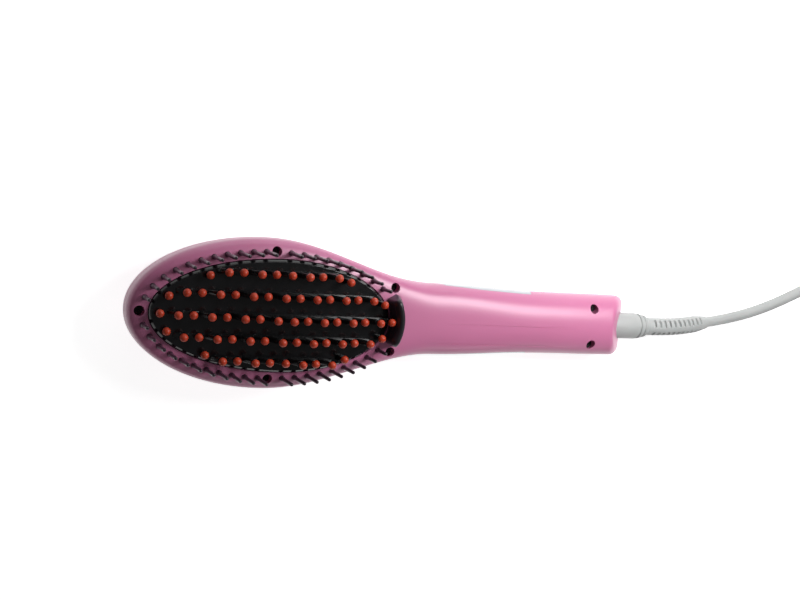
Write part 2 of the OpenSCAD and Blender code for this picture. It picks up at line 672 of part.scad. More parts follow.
// The tooth of a side row's end pin, with its long side towards the row
module end_tooth(row, i) {
    z = tooth_z(row, i);
    inward = i == 0 ? 1 : -1;
    translate([pin_x(row, i), pin_y(row, i) + fin_w / 2, 0]) rotate([90, 0, 0])
        linear_extrude(fin_w) polygon([for (p = [[-end_foot, fin_low], [-pin_d / 2, z],
            [pin_d / 2, z], [end_foot + 1.2, fin_low]]) [p[0] * inward, p[1]]]);
}
module brush_pins() color([0.06, 0.06, 0.07]) placed()
    for (row = rows, i = [0:row_count[abs(row)] - 1])
        translate([pin_x(row, i), pin_y(row, i), tooth_z(row, i) + touch])
            cylinder(h = ball_z(row, i) - tooth_z(row, i) - touch, d = pin_d, $fn = 20);

module pin_tips() color("orangered") placed()
    for (row = rows, i = [0:row_count[abs(row)] - 1])
        translate([pin_x(row, i), pin_y(row, i), ball_z(row, i)]) difference() {
            sphere(d = ball_d, $fn = 32);
            translate([0, 0, -ball_d]) cylinder(h = ball_d + touch, d = pin_d + 2 * touch, $fn = 20);
        }

module hand_guard() color([0.12, 0.1, 0.12]) placed() {
    translate([guard_x, 0, 0]) rotate(-guard_half_angle)
        rotate_extrude(angle = 2 * guard_half_angle, $fn = 96) polygon(guard_section());
    for (side = [-1, 1]) guard_peg(side, 0, 0);
}
// Radius and height round the lip: a steep front, a round crest and a convex back
function guard_section() = let (front = guard_r - guard_wide) concat(
    [[front, 0], [front, guard_h - 3.6], [front + 0.7, guard_h - 1.9]],
    [for (a = [160:-20:40]) [guard_r - 5 + 1.5 * cos(a), guard_h - 1.5 + 1.5 * sin(a)]],
    [[guard_r - 2.6, guard_h - 4], [guard_r - 0.9, guard_h - 8.5], [guard_r, 1.2], [guard_r, 0]]);
module guard_peg(side, gap, up) {
    translate([guard_x + peg_at * cos(peg_angle), side * peg_at * sin(peg_angle), -3.4])
        cylinder(h = 3.4 + 0.5 + up, r = peg_r + gap, $fn = 32);
}

// ================= Under the plate =================
gasket_t = 1.5;
gasket_under = plate_under - touch - gasket_t;
gasket_post_x = [40, 106];
gasket_post_y = 19;
shield_z = -14.6;
shield_t = 0.8;
shield_x = [34, 112];
shield_w = 28;
shield_post_x = [shield_x[0] + 16, shield_x[1] - 18];
sensor_size = [7, 1.4];           // length, radius
fuse_case = [11, 2];
side_y = 9.4;                     // the sensor and the thermal fuse lie beside the heater
heater_size = [60, 12, 2.4];
heater_x = 72;
heater_z = plate_under - touch - heater_size[2];
film_t = 0.4;
clamp_t = 0.8;
clamp_x = [28, 116];
clamp_z = heater_z - film_t - 2 * touch;

module plate_gasket() color("white") placed()
    translate([0, 0, gasket_under]) linear_extrude(gasket_t) difference() {
        flange_shape();
        polygon(plate_outline(flange_out - 9));
    }
module ptc_heater() color("silver") placed()
    translate([heater_x - heater_size[0] / 2, -heater_size[1] / 2, heater_z]) cube(heater_size);
module heater_insulation() color("goldenrod") placed()
    translate([heater_x - heater_size[0] / 2 - 2, -heater_size[1] / 2 - 1, heater_z - touch - film_t])
        cube([heater_size[0] + 4, heater_size[1] + 2, film_t]);
module heater_clamp() color("lightsteelblue") placed() difference() {
    translate([clamp_x[0] - 5, -5, clamp_z - clamp_t - touch])
        cube([clamp_x[1] - clamp_x[0] + 10, 10, clamp_t]);
    for (x = clamp_x) translate([x, 0, clamp_z - 3]) cylinder(h = 4, r = 1.6);
}
module clamp_screws() color("gray") placed()
    for (x = clamp_x) translate([x, 0, clamp_z - clamp_t - 2 * touch]) {
        translate([0, 0, -1.6]) cylinder(h = 1.6, r = 2.6);
        cylinder(h = clamp_t + 2 * touch, r = 1.4);
    }
module thermistor() color("darkorange") placed()
    translate([heater_x + heater_size[0] / 2 - 6, side_y, plate_under - touch - sensor_size[1]])
        rotate([0, 90, 0]) cylinder(h = sensor_size[0], r = sensor_size[1]);
module thermal_fuse() color("lightgray") placed()
    translate([heater_x + 10, -side_y, plate_under - touch - fuse_case[1]])
        rotate([0, 90, 0]) cylinder(h = fuse_case[0], r = fuse_case[1]);
module heat_shield() color("khaki") placed()
    translate([shield_x[0], -shield_w / 2, shield_z + touch])
        cube([shield_x[1] - shield_x[0], shield_w, shield_t]);

// ================= Keys and panel =================
module step_key_outline(grow) {
    square_w = step_key_size[0] / 2 + grow;
    square_l = step_key_size[1] / 2 + grow;
    hull() for (sx = [-1, 1], sy = [-1, 1])
        translate([sx * (square_w - step_key_r), sy * (square_l - step_key_r)])
            circle(r = step_key_r, $fn = 32);
}
module key_outline(which, grow) {
    translate(key_names_at[which])
        if (which == 0) circle(r = power_r + grow, $fn = 48);
        else step_key_outline(grow);
}
module key_column(which, grow) {
    translate([0, 0, -rim_h]) linear_extrude(-seam_z) key_outline(which, grow);
}
module key_strip(outer, inner) {
    strip(panel_at + 28, panel_at + 55, 38, outer, inner);
}
// The cap that shows, and the flange behind the panel that keeps it in
module key(which) {
    intersection() {
        key_column(which, 0);
        key_strip(-key_out, key_back);
    }
    intersection() {
        key_column(which, key_flange_out);
        key_strip(panel_t + flange_gap, key_back);
    }
}
module plunger(which) {
    at = key_names_at[which];
    foot = back_z(at[0], abs(at[1]) + plunger_r, key_back) + touch;
    translate([at[0], at[1], foot]) cylinder(h = plunger_top - foot, r = plunger_r, $fn = 32);
}
module power_button() color("lightgray") placed() key(0);
module plus_button() color("lightgray") placed() key(1);
module minus_button() color("lightgray") placed() key(2);
module power_plunger() color("black") placed() plunger(0);
module plus_plunger() color("black") placed() plunger(1);
module minus_plunger() color("black") placed() plunger(2);

module control_panel() color("silver") placed() difference() {
    strip(panel_at, panel_at + panel_l, panel_edge, 0, panel_t, panel_slant);
    for (which = [0, 1, 2]) key_column(which, key_gap);
    strip(lens_x[0] - 0.1, lens_x[1] + 0.1, lens_edge - 0.6, -past, panel_t + past);
}
module display_lens() color([0.15, 0.16, 0.2]) placed()
    strip(lens_x[0], lens_x[1], lens_edge, 0.15, panel_t + 0.3);

// ================= Boards =================
module board(x, w, z, posts, post_y) {
    difference() {
        translate([x[0], -w / 2, z]) cube([x[1] - x[0], w, board_t]);
        for (px = posts, side = [-1, 1])
            translate([px, side * post_y, z - past])
                cylinder(h = board_t + 2 * past, r = board_screw_r + 0.2, $fn = 24);
    }
}
module display_board() color("darkgreen") placed()
    translate([0, 0, touch]) board(display_x, display_w, display_z, display_post_x, display_post_y);
module main_board() color("darkgreen") placed()
    translate([0, 0, -touch]) board(main_x, main_w, main_z, main_post_x, main_post_y);
module switch_bodies() color("dimgray") placed()
    for (at = key_names_at) translate([at[0], at[1], display_z - switch_h]) difference() {
        translate([-switch_w / 2, -switch_w / 2, 0])
            cube([switch_w, min(switch_w, 2 * step_key_y - 1), switch_h]);
        translate([0, 0, -past]) cylinder(h = switch_h - switch_roof + past, r = plunger_r + touch, $fn = 32);
    }
module lcd_module() color("lightslategray") placed()
    translate([lens_x[0] + 0.5, -lcd_size[1] / 2, display_z - lcd_size[2]]) cube(lcd_size);
module power_capacitor() color("gold") placed()
    translate([main_x[0] + 10, 0, main_z + board_t]) cube(capacitor_size);
module driver_chip() color("black") placed()
    translate([main_x[0] + 26, -7, main_z + board_t]) cube(chip_size);
module triac() color("black") placed()
    translate([main_x[1] - triac_in, -triac_size[1] / 2, main_z - 2 * touch - triac_size[2]]) cube(triac_size);
module line_fuse() color("white") placed()
    translate([main_x[1] - fuse_in, -3.6, main_z + board_t + fuse_size[1]]) rotate([0, 90, 0])
        cylinder(h = fuse_size[0], r = fuse_size[1]);
module buzzer() color("black") placed()
    translate([main_x[1] - buzzer_in, 3.4, main_z + board_t]) cylinder(h = buzzer_size[1], r = buzzer_size[0]);

module board_screws() color("lightgray") placed() {
    for (x = main_post_x, side = [-1, 1]) translate([x, side * main_post_y, main_z - 2 * touch]) {
        translate([0, 0, -board_screw_head[1]]) cylinder(h = board_screw_head[1], r = board_screw_head[0]);
        cylinder(h = board_screw_l, r = board_screw_r, $fn = 24);
    }
    for (x = display_post_x, side = [-1, 1])
        translate([x, side * display_post_y, display_z + board_t + 2 * touch]) {
            cylinder(h = board_screw_head[1], r = board_screw_head[0]);
            translate([0, 0, -board_screw_l]) cylinder(h = board_screw_l, r = board_screw_r, $fn = 24);
        }
}
// A flat cable that rises from the display board to the main board
module display_ribbon() color("ivory") placed() {
    low = display_z + board_t + 2 * touch;
    high = main_z - 2 * touch;
    back = ribbon_t * 1.5;
    translate([ribbon_x, ribbon_w / 2, 0]) rotate([90, 0, 0]) linear_extrude(ribbon_w)
        polygon([[0, low], [ribbon_foot, low], [ribbon_foot, low + ribbon_t], [back, low + ribbon_t],
            [back, high - ribbon_t], [ribbon_foot, high - ribbon_t], [ribbon_foot, high], [0, high]]);
}

// ================= Wires inside =================
wire_r = 0.8;
module heater_leads() color("white") placed() for (side = [-1, 1])
    let (from = heater_x + heater_size[0] / 2, level = heater_z + 1.2, to = main_x[0])
    tube(smooth([[from + touch, side * 4.6, level], [from + 5, side * 5.4, level],
        [from + 10, side * 6.8, level - 0.3], [to - 38, side * 6.8, -8],
        [to - 28, side * 6.4, -10], [to - 14, side * 6, -10.6],
        [to - 5, side * 6, main_z + 0.2], [to - 0.1, side * 6, main_z + board_t / 2]],
        2), wire_r, tube_sides);
module supply_leads() color("saddlebrown") placed() for (side = [-1, 1])
    let (from = holder_x[0], to = main_x[1])
    tube(smooth([[from - 0.9, side * 3, holder_top - 1.5], [from - 1.7, side * 4.4, holder_top + 0.8],
        [from - 2, side * 5, -15.2], [to - 1, side * 5, -13], [to - 2.4, side * 5, main_z - 1.8],
        [to - 2.7, side * 5, main_z - 0.3]], 2), wire_r, tube_sides);

// ================= Swivel =================
module turned(profile) {
    translate([0, 0, seam_z]) rotate([0, 90, 0]) rotate_extrude() polygon(profile);
}
module swivel_seat() color("ghostwhite") placed() turned([[bush_r, seat_x[0]],
    [seat_r, seat_x[0]], [seat_r, seat_x[1]], [seat_nose[0], seat_x[1]],
    [seat_nose[0], seat_nose[1]], [bush_r, seat_nose[1]]]);
module swivel_spool() color("gainsboro") placed()
    let (inner = seat_x[0] - swing_gap, tail = seat_x[0] - swing_gap - spool_flange[1])
    turned([[spool_bore_r, tail - spool_core_l], [spool_core_r, tail - spool_core_l],
        [spool_core_r, tail], [spool_flange[0], tail], [spool_flange[0], inner],
        [bush_r - run_fit, inner], [bush_r - run_fit, spool_end], [spool_bore_r, spool_end]]);
module slip_rings() color("goldenrod") placed() for (x = ring_x)
    turned([[spool_core_r + touch, x], [ring_r, x], [ring_r, x + ring_l],
        [spool_core_r + touch, x + ring_l]]);
holder_h = 3;
module contact_holder() color("black") placed()
    translate([holder_x[0], -4.6, holder_top - holder_h + touch])
        cube([holder_x[1] - holder_x[0], 9.2, holder_h]);
// A bent strip under each ring
module contact_springs() color("goldenrod") placed() {
    low = holder_top + 2 * touch;
    high = seam_z - ring_r - swing_gap;
    for (x = ring_x) translate([x, 0, 0]) rotate([90, 0, 90]) linear_extrude(ring_l)
        polygon([[-4, low], [-1.8, low], [0, high - 0.5], [2.6, low + 1.4], [2.9, low + 1.8],
            [0, high], [-2, low + 0.4], [-4, low + 0.4]]);
}

module strain_relief() color("whitesmoke") from_end_face() translate([0, 0, axis_z]) {
    collar_r = collar_d / 2;
    sleeve_r = sleeve_radii[0][1];
    rotate([0, 90, 0]) rotate_extrude() polygon([[0, -13], [stem_r, -13], [stem_r, collar_from],
        [collar_r, collar_from], [collar_r, collar_l], [collar_r - 0.7, collar_l + 0.2],
        [collar_r - 0.7, collar_l + 1.2], [collar_r - 0.3, collar_l + 1.4],
        [collar_r - 0.5, collar_l + 3.1], [collar_r - 1.2, collar_l + 3.3],
        [collar_r - 1.2, collar_l + 4.3], [collar_r - 1, collar_l + 4.5],
        [collar_r - 1.2, collar_l + 6.3], [sleeve_r, collar_l + 7.3], [0, collar_l + 7.3]]);
    line = smooth(relief_line, 8);
    n = len(line) - 1;
    radii = [for (i = [0:n]) lookup(line[i][0], sleeve_radii)
        - (i > 5 && i < n - 8 && i % 4 > 1 ? rib_depth : 0)];
    tube(line, radii, 10);
}

// ================= Lead, coil and plug =================
module cord_run() color("whitesmoke") from_end_face() tube(smooth(run_line, 3), lead_d / 2, tube_sides);
module cord_coil() color("whitesmoke") from_end_face() tube(coil_path, lead_d / 2, coil_sides);
module cord_tail() color("whitesmoke") from_end_face() tube(smooth(tail_line, 3), lead_d / 2, tube_sides);
// A flat strap round both layers of the coil, on its far side
module coil_tie() color("darkgray") from_end_face() {
    slack = 0.6;
    inner = coil_min_r - lead_d / 2 - slack;
    outer = coil_max_r + lead_d / 2 + slack;
    top = coil_low + coil_pitch + lead_d / 2 + 0.2;
    translate([coil_x, 4, 0]) rotate([90, 0, 0]) linear_extrude(8) difference() {
        translate([inner - tie_t, 0]) square([outer - inner + 2 * tie_t, top + tie_t]);
        translate([inner, tie_t]) square([outer - inner, top - tie_t]);
    }
}
module plug_body() color("whitesmoke") from_end_face() translate(plug_from) difference() {
    union() {
        rotate([0, 90, 0]) rotate_extrude() polygon([[0, 0], [lead_d / 2 + 0.6, 0],
            [lead_d / 2 + 1.8, plug_relief_l], [plug_neck_w / 2 - 0.6, plug_relief_l + 1],
            [0, plug_relief_l + 1]]);
        hull() {
            translate([plug_relief_l, 0, 0]) rotate([0, 90, 0])
                cylinder(h = 1, d = plug_neck_w, $fn = 32);
            translate([plug_relief_l + plug_neck_l, 0, 0]) plug_slab(plug_l - plug_neck_l);
        }
    }
    plug_pin_places() translate([0, 0, -plug_pin_in])
        cylinder(h = plug_pin_in + past, r = pin_sleeve_r + touch);
}
// The plug's flat end, with round edges
module plug_slab(l) {
    r = plug_h / 2 - 1.6;
    for (side = [-1, 1], up = [-1, 1])
        translate([0, side * (plug_w / 2 - r), up * (plug_h / 2 - r)]) rotate([0, 90, 0])
            cylinder(h = l, r = r, $fn = 32);
}
module plug_pin_places() {
    for (side = [-1, 1])
        translate([plug_relief_l + plug_l, side * plug_pin_span / 2, 0]) rotate([0, 90, 0]) children();
}
module plug_pins() color("silver") from_end_face() translate(plug_from)
    plug_pin_places() {
        translate([0, 0, touch - plug_pin_in])
            cylinder(h = plug_pin_in + pin_sleeve_l - touch, r = pin_sleeve_r);
        translate([0, 0, pin_sleeve_l])
            cylinder(h = plug_pin_l - pin_sleeve_l - pin_nose, r = plug_pin_r);
        translate([0, 0, plug_pin_l - pin_nose])
            cylinder(h = pin_nose, r1 = plug_pin_r, r2 = plug_pin_r - 0.8);
    }

front_housing();
back_housing();
bristle_strips();
cooling_bristles();
heating_plate();
plate_fins();
brush_pins();
pin_tips();
hand_guard();
head_screws();
handle_screws();
control_panel();
display_lens();
power_button();
plus_button();
minus_button();
power_plunger();
plus_plunger();
minus_plunger();
switch_bodies();
display_board();
lcd_module();
plate_gasket();
ptc_heater();
heater_insulation();
heater_clamp();
clamp_screws();
thermistor();
thermal_fuse();
heat_shield();
heater_leads();
main_board();
power_capacitor();
triac();
driver_chip();
line_fuse();
buzzer();
board_screws();
display_ribbon();
swivel_seat();
swivel_spool();
slip_rings();
contact_holder();
contact_springs();
supply_leads();
strain_relief();
cord_run();
cord_coil();
cord_tail();
coil_tie();
plug_body();
plug_pins();
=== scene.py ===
"""Looks of the heated hair straightener brush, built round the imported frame.

Lengths in the helpers are millimetres. Brush pieces use x from the head's tip and z above
the rim's face, lead pieces use x from the handle's end and z above the surface.
"""

import json
import math

import bmesh
import bpy
from mathutils import Matrix, Vector


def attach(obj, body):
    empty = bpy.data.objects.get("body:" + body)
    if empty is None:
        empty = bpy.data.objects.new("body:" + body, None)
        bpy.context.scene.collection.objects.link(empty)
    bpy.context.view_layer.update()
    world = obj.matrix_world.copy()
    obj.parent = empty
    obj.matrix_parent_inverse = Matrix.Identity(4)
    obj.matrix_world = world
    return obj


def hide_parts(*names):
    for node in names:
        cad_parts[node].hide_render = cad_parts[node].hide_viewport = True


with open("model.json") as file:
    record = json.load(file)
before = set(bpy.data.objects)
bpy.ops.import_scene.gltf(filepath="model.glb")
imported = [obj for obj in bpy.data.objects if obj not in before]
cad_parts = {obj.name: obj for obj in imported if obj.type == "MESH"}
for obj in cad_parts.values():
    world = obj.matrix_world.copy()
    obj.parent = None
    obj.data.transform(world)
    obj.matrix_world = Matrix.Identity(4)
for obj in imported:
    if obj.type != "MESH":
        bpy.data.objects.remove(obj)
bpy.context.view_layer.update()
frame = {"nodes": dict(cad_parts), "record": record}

MM = 0.001
BRUSH_L = 275.0
RIM_H = 28.0
FRONT = 1
BACK = -1


def brush_point(x, y, z):
    """A point of the brush in the row frame, in metres."""
    return Vector((x - BRUSH_L / 2, y, z + RIM_H)) * MM


def lead_point(x, y, z):
    """A point of the lead in the row frame, in metres."""
    return Vector((x + BRUSH_L / 2, y, z)) * MM


# ------------------------------ camera
CAMERA_AXES = (
    (0.920032, 0.090018, 0.381364),
    (-0.03868, 0.989365, -0.140216),
    (-0.38993, 0.114252, 0.913729),
)
CAMERA_AT = (-132.093, 89.264, 630.215)
FOCAL_PIXELS = 1364.6
PHOTO_WIDTH = 800
SENSOR = 36.0


def add_camera():
    data = bpy.data.cameras.new("camera")
    data.sensor_fit = "HORIZONTAL"
    data.sensor_width = SENSOR
    data.lens = FOCAL_PIXELS / PHOTO_WIDTH * SENSOR
    data.clip_start = 0.01
    data.clip_end = 50
    camera = bpy.data.objects.new("camera", data)
    turn = Matrix(CAMERA_AXES).transposed().to_4x4()
    camera.matrix_world = Matrix.Translation(brush_point(*CAMERA_AT)) @ turn
    bpy.context.scene.collection.objects.link(camera)
    bpy.context.scene.camera = camera


add_camera()


# ------------------------------ mesh helpers
def new_mesh(name, points, faces):
    mesh = bpy.data.meshes.new(name)
    mesh.from_pydata([tuple(p) for p in points], [], faces)
    mesh.update()
    return mesh


def join_data(parts):
    """Points and faces of several (points, faces) pairs as one pair."""
    points, faces = [], []
    for more_points, more_faces in parts:
        start = len(points)
        points.extend(more_points)
        faces.extend([tuple(i + start for i in f) for f in more_faces])
    return points, faces


def fix_normals(mesh):
    bm = bmesh.new()
    bm.from_mesh(mesh)
    bmesh.ops.recalc_face_normals(bm, faces=bm.faces)
    bm.to_mesh(mesh)
    bm.free()


def smooth_by_angle(mesh, degrees):
    """Smooth faces, with a hard edge wherever two faces meet at a larger angle."""
    bm = bmesh.new()
    bm.from_mesh(mesh)
    for face in bm.faces:
        face.smooth = True
    limit = math.radians(degrees)
    for edge in bm.edges:
        edge.smooth = len(edge.link_faces) == 2 and edge.calc_face_angle(0) < limit
    bm.to_mesh(mesh)
    bm.free()


def ring_faces(rings, n):
    """The faces between rings of n points each, one after another."""
    faces = []
    for r in range(rings - 1):
        for k in range(n):
            a, b = r * n + k, r * n + (k + 1) % n
            faces.append((a, b, b + n, a + n))
    return faces


def tube_faces(rings, n):
    """The same with a face at each end."""
    last = (rings - 1) * n
    return ring_faces(rings, n) + [tuple(range(n)), tuple(range(last, last + n))]


def cap_faces(start, n):
    """A ring's flat end, as strips between the two sides that mirror each other."""
    faces = [(start, start + 1, start + n - 1)]
    last = (n - 1) // 2
    for i in range(1, last):
        faces.append((start + i, start + i + 1, start + n - i - 1, start + n - i))
    if n % 2 == 0:
        faces.append((start + last, start + last + 1, start + last + 2))
    return faces


def arc_points(x, y, radius, degrees):
    """Points of an arc round (x, y), one for each angle of degrees."""
    turns = [math.radians(a) for a in degrees]
    return [(x + radius * math.cos(a), y + radius * math.sin(a)) for a in turns]


def lathe(profile, sides, place):
    """A turned solid: profile is [(radius, height)], place maps (x, y, height)."""
    points, faces = [], []
    rings = []
    for radius, height in profile:
        if radius < 1e-6:
            rings.append([len(points)])
            points.append(place(0, 0, height))
        else:
            rings.append(list(range(len(points), len(points) + sides)))
            for k in range(sides):
                a = 2 * math.pi * k / sides
                points.append(place(radius * math.cos(a), radius * math.sin(a), height))
    for low, high in zip(rings, rings[1:]):
        for k in range(sides):
            j = (k + 1) % sides
            if len(low) == 1 and len(high) == 1:
                continue
            if len(low) == 1:
                faces.append((low[0], high[j], high[k]))
            elif len(high) == 1:
                faces.append((low[k], low[j], high[0]))
            else:
                faces.append((low[k], low[j], high[j], high[k]))
    return points, faces


def prism(outline, low, high):
    """An upright prism over a closed outline of (x, y), between two heights in brush terms."""
    n = len(outline)
    points = [brush_point(x, y, low) for x, y in outline]
    points += [brush_point(x, y, high) for x, y in outline]
    faces = ring_faces(2, n) + [tuple(range(n))[::-1], tuple(range(n, 2 * n))]
    return points, faces


def upright(profile, x, y, sides):
    """A turned solid of the brush that stands at (x, y)."""
    return lathe(profile, sides, lambda a, b, h: brush_point(x + a, y + b, h))


def rod(x, y, low, high, radius, sides):
    return upright([(0, low), (radius, low), (radius, high), (0, high)], x, y, sides)


def apply_modifiers(piece):
    bpy.context.view_layer.update()
    depsgraph = bpy.context.evaluated_depsgraph_get()
    result = bpy.data.meshes.new_from_object(piece.evaluated_get(depsgraph))
    piece.modifiers.clear()
    old = piece.data
    piece.data = result
    bpy.data.meshes.remove(old)


def cut(piece, cutter_data):
    """Cuts piece by closed solids that don't touch each other."""
    points, faces = cutter_data
    mesh = new_mesh("cutter", points, faces)
    fix_normals(mesh)
    cutter = bpy.data.objects.new("cutter", mesh)
    bpy.context.scene.collection.objects.link(cutter)
    modifier = piece.modifiers.new("cut", "BOOLEAN")
    modifier.operation = "DIFFERENCE"
    modifier.solver = "EXACT"
    modifier.object = cutter
    apply_modifiers(piece)
    bpy.data.objects.remove(cutter)
    bpy.data.meshes.remove(mesh)


def bevelled(piece, width, segments, angle):
    """Rounds the edges that are sharper than angle, in degrees."""
    modifier = piece.modifiers.new("bevel", "BEVEL")
    modifier.width = width * MM
    modifier.segments = segments
    modifier.limit_method = "ANGLE"
    modifier.angle_limit = math.radians(angle)
    modifier.harden_normals = False
    apply_modifiers(piece)


# ------------------------------ materials
PLASTIC_IOR = 1.5
GRAIN_DEPTH = 0.2
mats = {}


def add_material(
    name,
    colour,
    roughness,
    metallic=0.0,
    mottle=0.04,
    mottle_scale=60,
    grain=0.0,
    grain_scale=900,
    coat=0.0,
    coat_roughness=0.1,
    rough_spread=0.06,
    sheen=0.0,
    sheen_tint=(1, 1, 1),
    subsurface=0.0,
):
    """A moulded or metal finish: slight colour and gloss variation and a fine surface grain."""
    mat = bpy.data.materials.new(name)
    mat.use_nodes = True
    nodes, links = mat.node_tree.nodes, mat.node_tree.links
    shader = nodes["Principled BSDF"]
    where = nodes.new("ShaderNodeTexCoord")
    cloud = nodes.new("ShaderNodeTexNoise")
    cloud.inputs["Scale"].default_value = mottle_scale
    cloud.inputs["Detail"].default_value = 4
    links.new(where.outputs["Object"], cloud.inputs["Vector"])
    tone = nodes.new("ShaderNodeValToRGB")
    tone.color_ramp.elements[0].position = 0.3
    tone.color_ramp.elements[1].position = 0.7
    tone.color_ramp.elements[0].color = (*[c * (1 - mottle) for c in colour], 1)
    tone.color_ramp.elements[1].color = (*[min(c * (1 + mottle), 1) for c in colour], 1)
    links.new(cloud.outputs["Fac"], tone.inputs["Fac"])
    links.new(tone.outputs["Color"], shader.inputs["Base Color"])
    gloss = nodes.new("ShaderNodeMapRange")
    gloss.inputs["To Min"].default_value = max(roughness - rough_spread / 2, 0.02)
    gloss.inputs["To Max"].default_value = roughness + rough_spread / 2
    links.new(cloud.outputs["Fac"], gloss.inputs["Value"])
    links.new(gloss.outputs["Result"], shader.inputs["Roughness"])
    shader.inputs["Metallic"].default_value = metallic
    shader.inputs["IOR"].default_value = PLASTIC_IOR
    shader.inputs["Coat Weight"].default_value = coat
    shader.inputs["Coat Roughness"].default_value = coat_roughness
    shader.inputs["Sheen Weight"].default_value = sheen
    shader.inputs["Sheen Tint"].default_value = (*sheen_tint, 1)
    if subsurface:
        shader.inputs["Subsurface Weight"].default_value = subsurface
        shader.inputs["Subsurface Radius"].default_value = (0.6, 0.3, 0.3)
        shader.inputs["Subsurface Scale"].default_value = MM
    if grain:
        fine = nodes.new("ShaderNodeTexNoise")
        fine.inputs["Scale"].default_value = grain_scale
        fine.inputs["Detail"].default_value = 3
        links.new(where.outputs["Object"], fine.inputs["Vector"])
        bump = nodes.new("ShaderNodeBump")
        bump.inputs["Strength"].default_value = grain
        bump.inputs["Distance"].default_value = GRAIN_DEPTH * MM
        links.new(fine.outputs["Fac"], bump.inputs["Height"])
        links.new(bump.outputs["Normal"], shader.inputs["Normal"])
    mats[name] = mat


PINK = (0.60, 0.19, 0.35)
add_material(
    "pink_shell", PINK, 0.36, mottle=0.015, mottle_scale=12, grain=0.02, grain_scale=1500,
    coat=0.3, coat_roughness=0.28, rough_spread=0.04, subsurface=0.06,
)
add_material(
    "bristle_nylon", (0.022, 0.012, 0.020), 0.32, mottle=0.15, grain=0.1, sheen=0.15,
    sheen_tint=(0.9, 0.45, 0.75),
)
add_material(
    "black_plate", (0.005, 0.005, 0.006), 0.2, mottle=0.2, mottle_scale=200, grain=0.06,
    coat=0.2, coat_roughness=0.06,
)
add_material(
    "orange_tips", (0.56, 0.05, 0.016), 0.4, mottle=0.08, mottle_scale=400, grain=0.12, subsurface=0.05,
)
# The guard's pink sheen tint is a painted reflection of the pink shell on its black edges, not a colour
# of the part.
add_material(
    "black_guard", (0.007, 0.006, 0.008), 0.36, mottle=0.15, grain=0.2, grain_scale=1800,
    sheen=0.2, sheen_tint=(0.8, 0.45, 0.75),
)
add_material("black_screws", (0.012, 0.012, 0.012), 0.5, metallic=0.3, grain=0.2)
add_material(
    "silver_panel", (0.42, 0.44, 0.47), 0.3, metallic=0.55, mottle=0.03, grain=0.12,
    grain_scale=2500, coat=0.3,
)
add_material("dark_lens", (0.01, 0.012, 0.016), 0.08, mottle=0.1, coat=0.6, coat_roughness=0.03)
add_material(
    "silver_keys", (0.55, 0.57, 0.6), 0.28, metallic=0.5, mottle=0.03, grain=0.1,
    grain_scale=2500, coat=0.3,
)
add_material("black_plastic", (0.02, 0.02, 0.02), 0.5, grain=0.3)
add_material("circuit_board", (0.01, 0.11, 0.035), 0.35, mottle=0.12, mottle_scale=500, grain=0.3)
add_material("white_silicone", (0.68, 0.68, 0.66), 0.5, grain=0.15, subsurface=0.2)
add_material("bare_aluminium", (0.66, 0.67, 0.68), 0.35, metallic=1, grain=0.25)
add_material("amber_film", (0.6, 0.25, 0.03), 0.25, grain=0.1)
add_material("spring_steel", (0.5, 0.5, 0.52), 0.28, metallic=1, grain=0.2)
add_material("steel_screws", (0.55, 0.55, 0.56), 0.32, metallic=1, grain=0.2)
add_material("mica_sheet", (0.5, 0.43, 0.26), 0.3, mottle=0.2, mottle_scale=300, grain=0.2)
add_material("white_plastic", (0.7, 0.7, 0.68), 0.42, grain=0.15)
add_material("contact_brass", (0.72, 0.47, 0.16), 0.25, metallic=1, grain=0.15)
add_material("brown_insulation", (0.14, 0.055, 0.02), 0.45, grain=0.15)
add_material(
    "lead_pvc", (0.42, 0.43, 0.425), 0.48, mottle=0.03, mottle_scale=90, grain=0.2,
    grain_scale=1400, subsurface=0.05,
)
add_material(
    "tie_strap", (0.035, 0.035, 0.04), 0.8, mottle=0.2, grain=0.9, grain_scale=2600, sheen=0.4,
)
add_material("plug_nickel", (0.68, 0.66, 0.62), 0.2, metallic=1, mottle=0.04, grain=0.08)

slot_of = {s["node"]: s["material_slot"] for s in frame["record"]["subparts"]}
bodies = frame["record"]["behaviour"]["bodies"]
body_of = {node: body for body, members in bodies.items() for node in members}
for node, piece in frame["nodes"].items():
    piece.data.materials.clear()
    piece.data.materials.append(mats[slot_of[node]])


def add_piece(name, data, node, angle=35):
    """A shown mesh with the body, slot and material of the CAD node that it replaces."""
    mesh = new_mesh(name, *data)
    fix_normals(mesh)
    piece = bpy.data.objects.new(name, mesh)
    bpy.context.scene.collection.objects.link(piece)
    mesh.materials.append(mats[slot_of[node]])
    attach(piece, body_of[node])
    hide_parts(node)
    if angle:
        smooth_by_angle(piece.data, angle)
    return piece


# ------------------------------ the lead
LEAD_D = 6.0
AXIS_Z = 16.0
TIE_T = 0.8
TIE_W = 8.0
TIE_BEND = 3.0
TIE_SLACK = 0.6
COIL_X = 196.5
COIL_TURNS = 7
COIL_PITCH = 6.5
COIL_MIN_R = 24.0
TIE_CLEAR = 0.2
COIL_LOW = TIE_T + TIE_CLEAR + LEAD_D / 2
COIL_LEAD = 6.0
COIL_MAX_R = COIL_MIN_R + COIL_TURNS / 2 * COIL_PITCH
CLIMB = 0.5               # turns over which the coil rises to its upper layer
RELIEF_TIP = (60, 2.5, AXIS_Z - 6.5)
RUN_LINE = [
    RELIEF_TIP, (66, 3, AXIS_Z - 8.4), (73, 3.8, 5.6), (82, 5.2, 4), (94, 8, 3.2),
    (108, 12.6, 3), (122, 18.4, 3), (136, 25, 3), (150, 32, 3), (164, 38.6, 3.2),
    (176, 43.4, 3.6), (183, COIL_MAX_R - 1.1, COIL_LOW),
    (COIL_X - COIL_LEAD - 2.5, COIL_MAX_R - 0.1, COIL_LOW),
    (COIL_X - COIL_LEAD, COIL_MAX_R, COIL_LOW),
]
PLUG_FROM = (284, 41, 7)
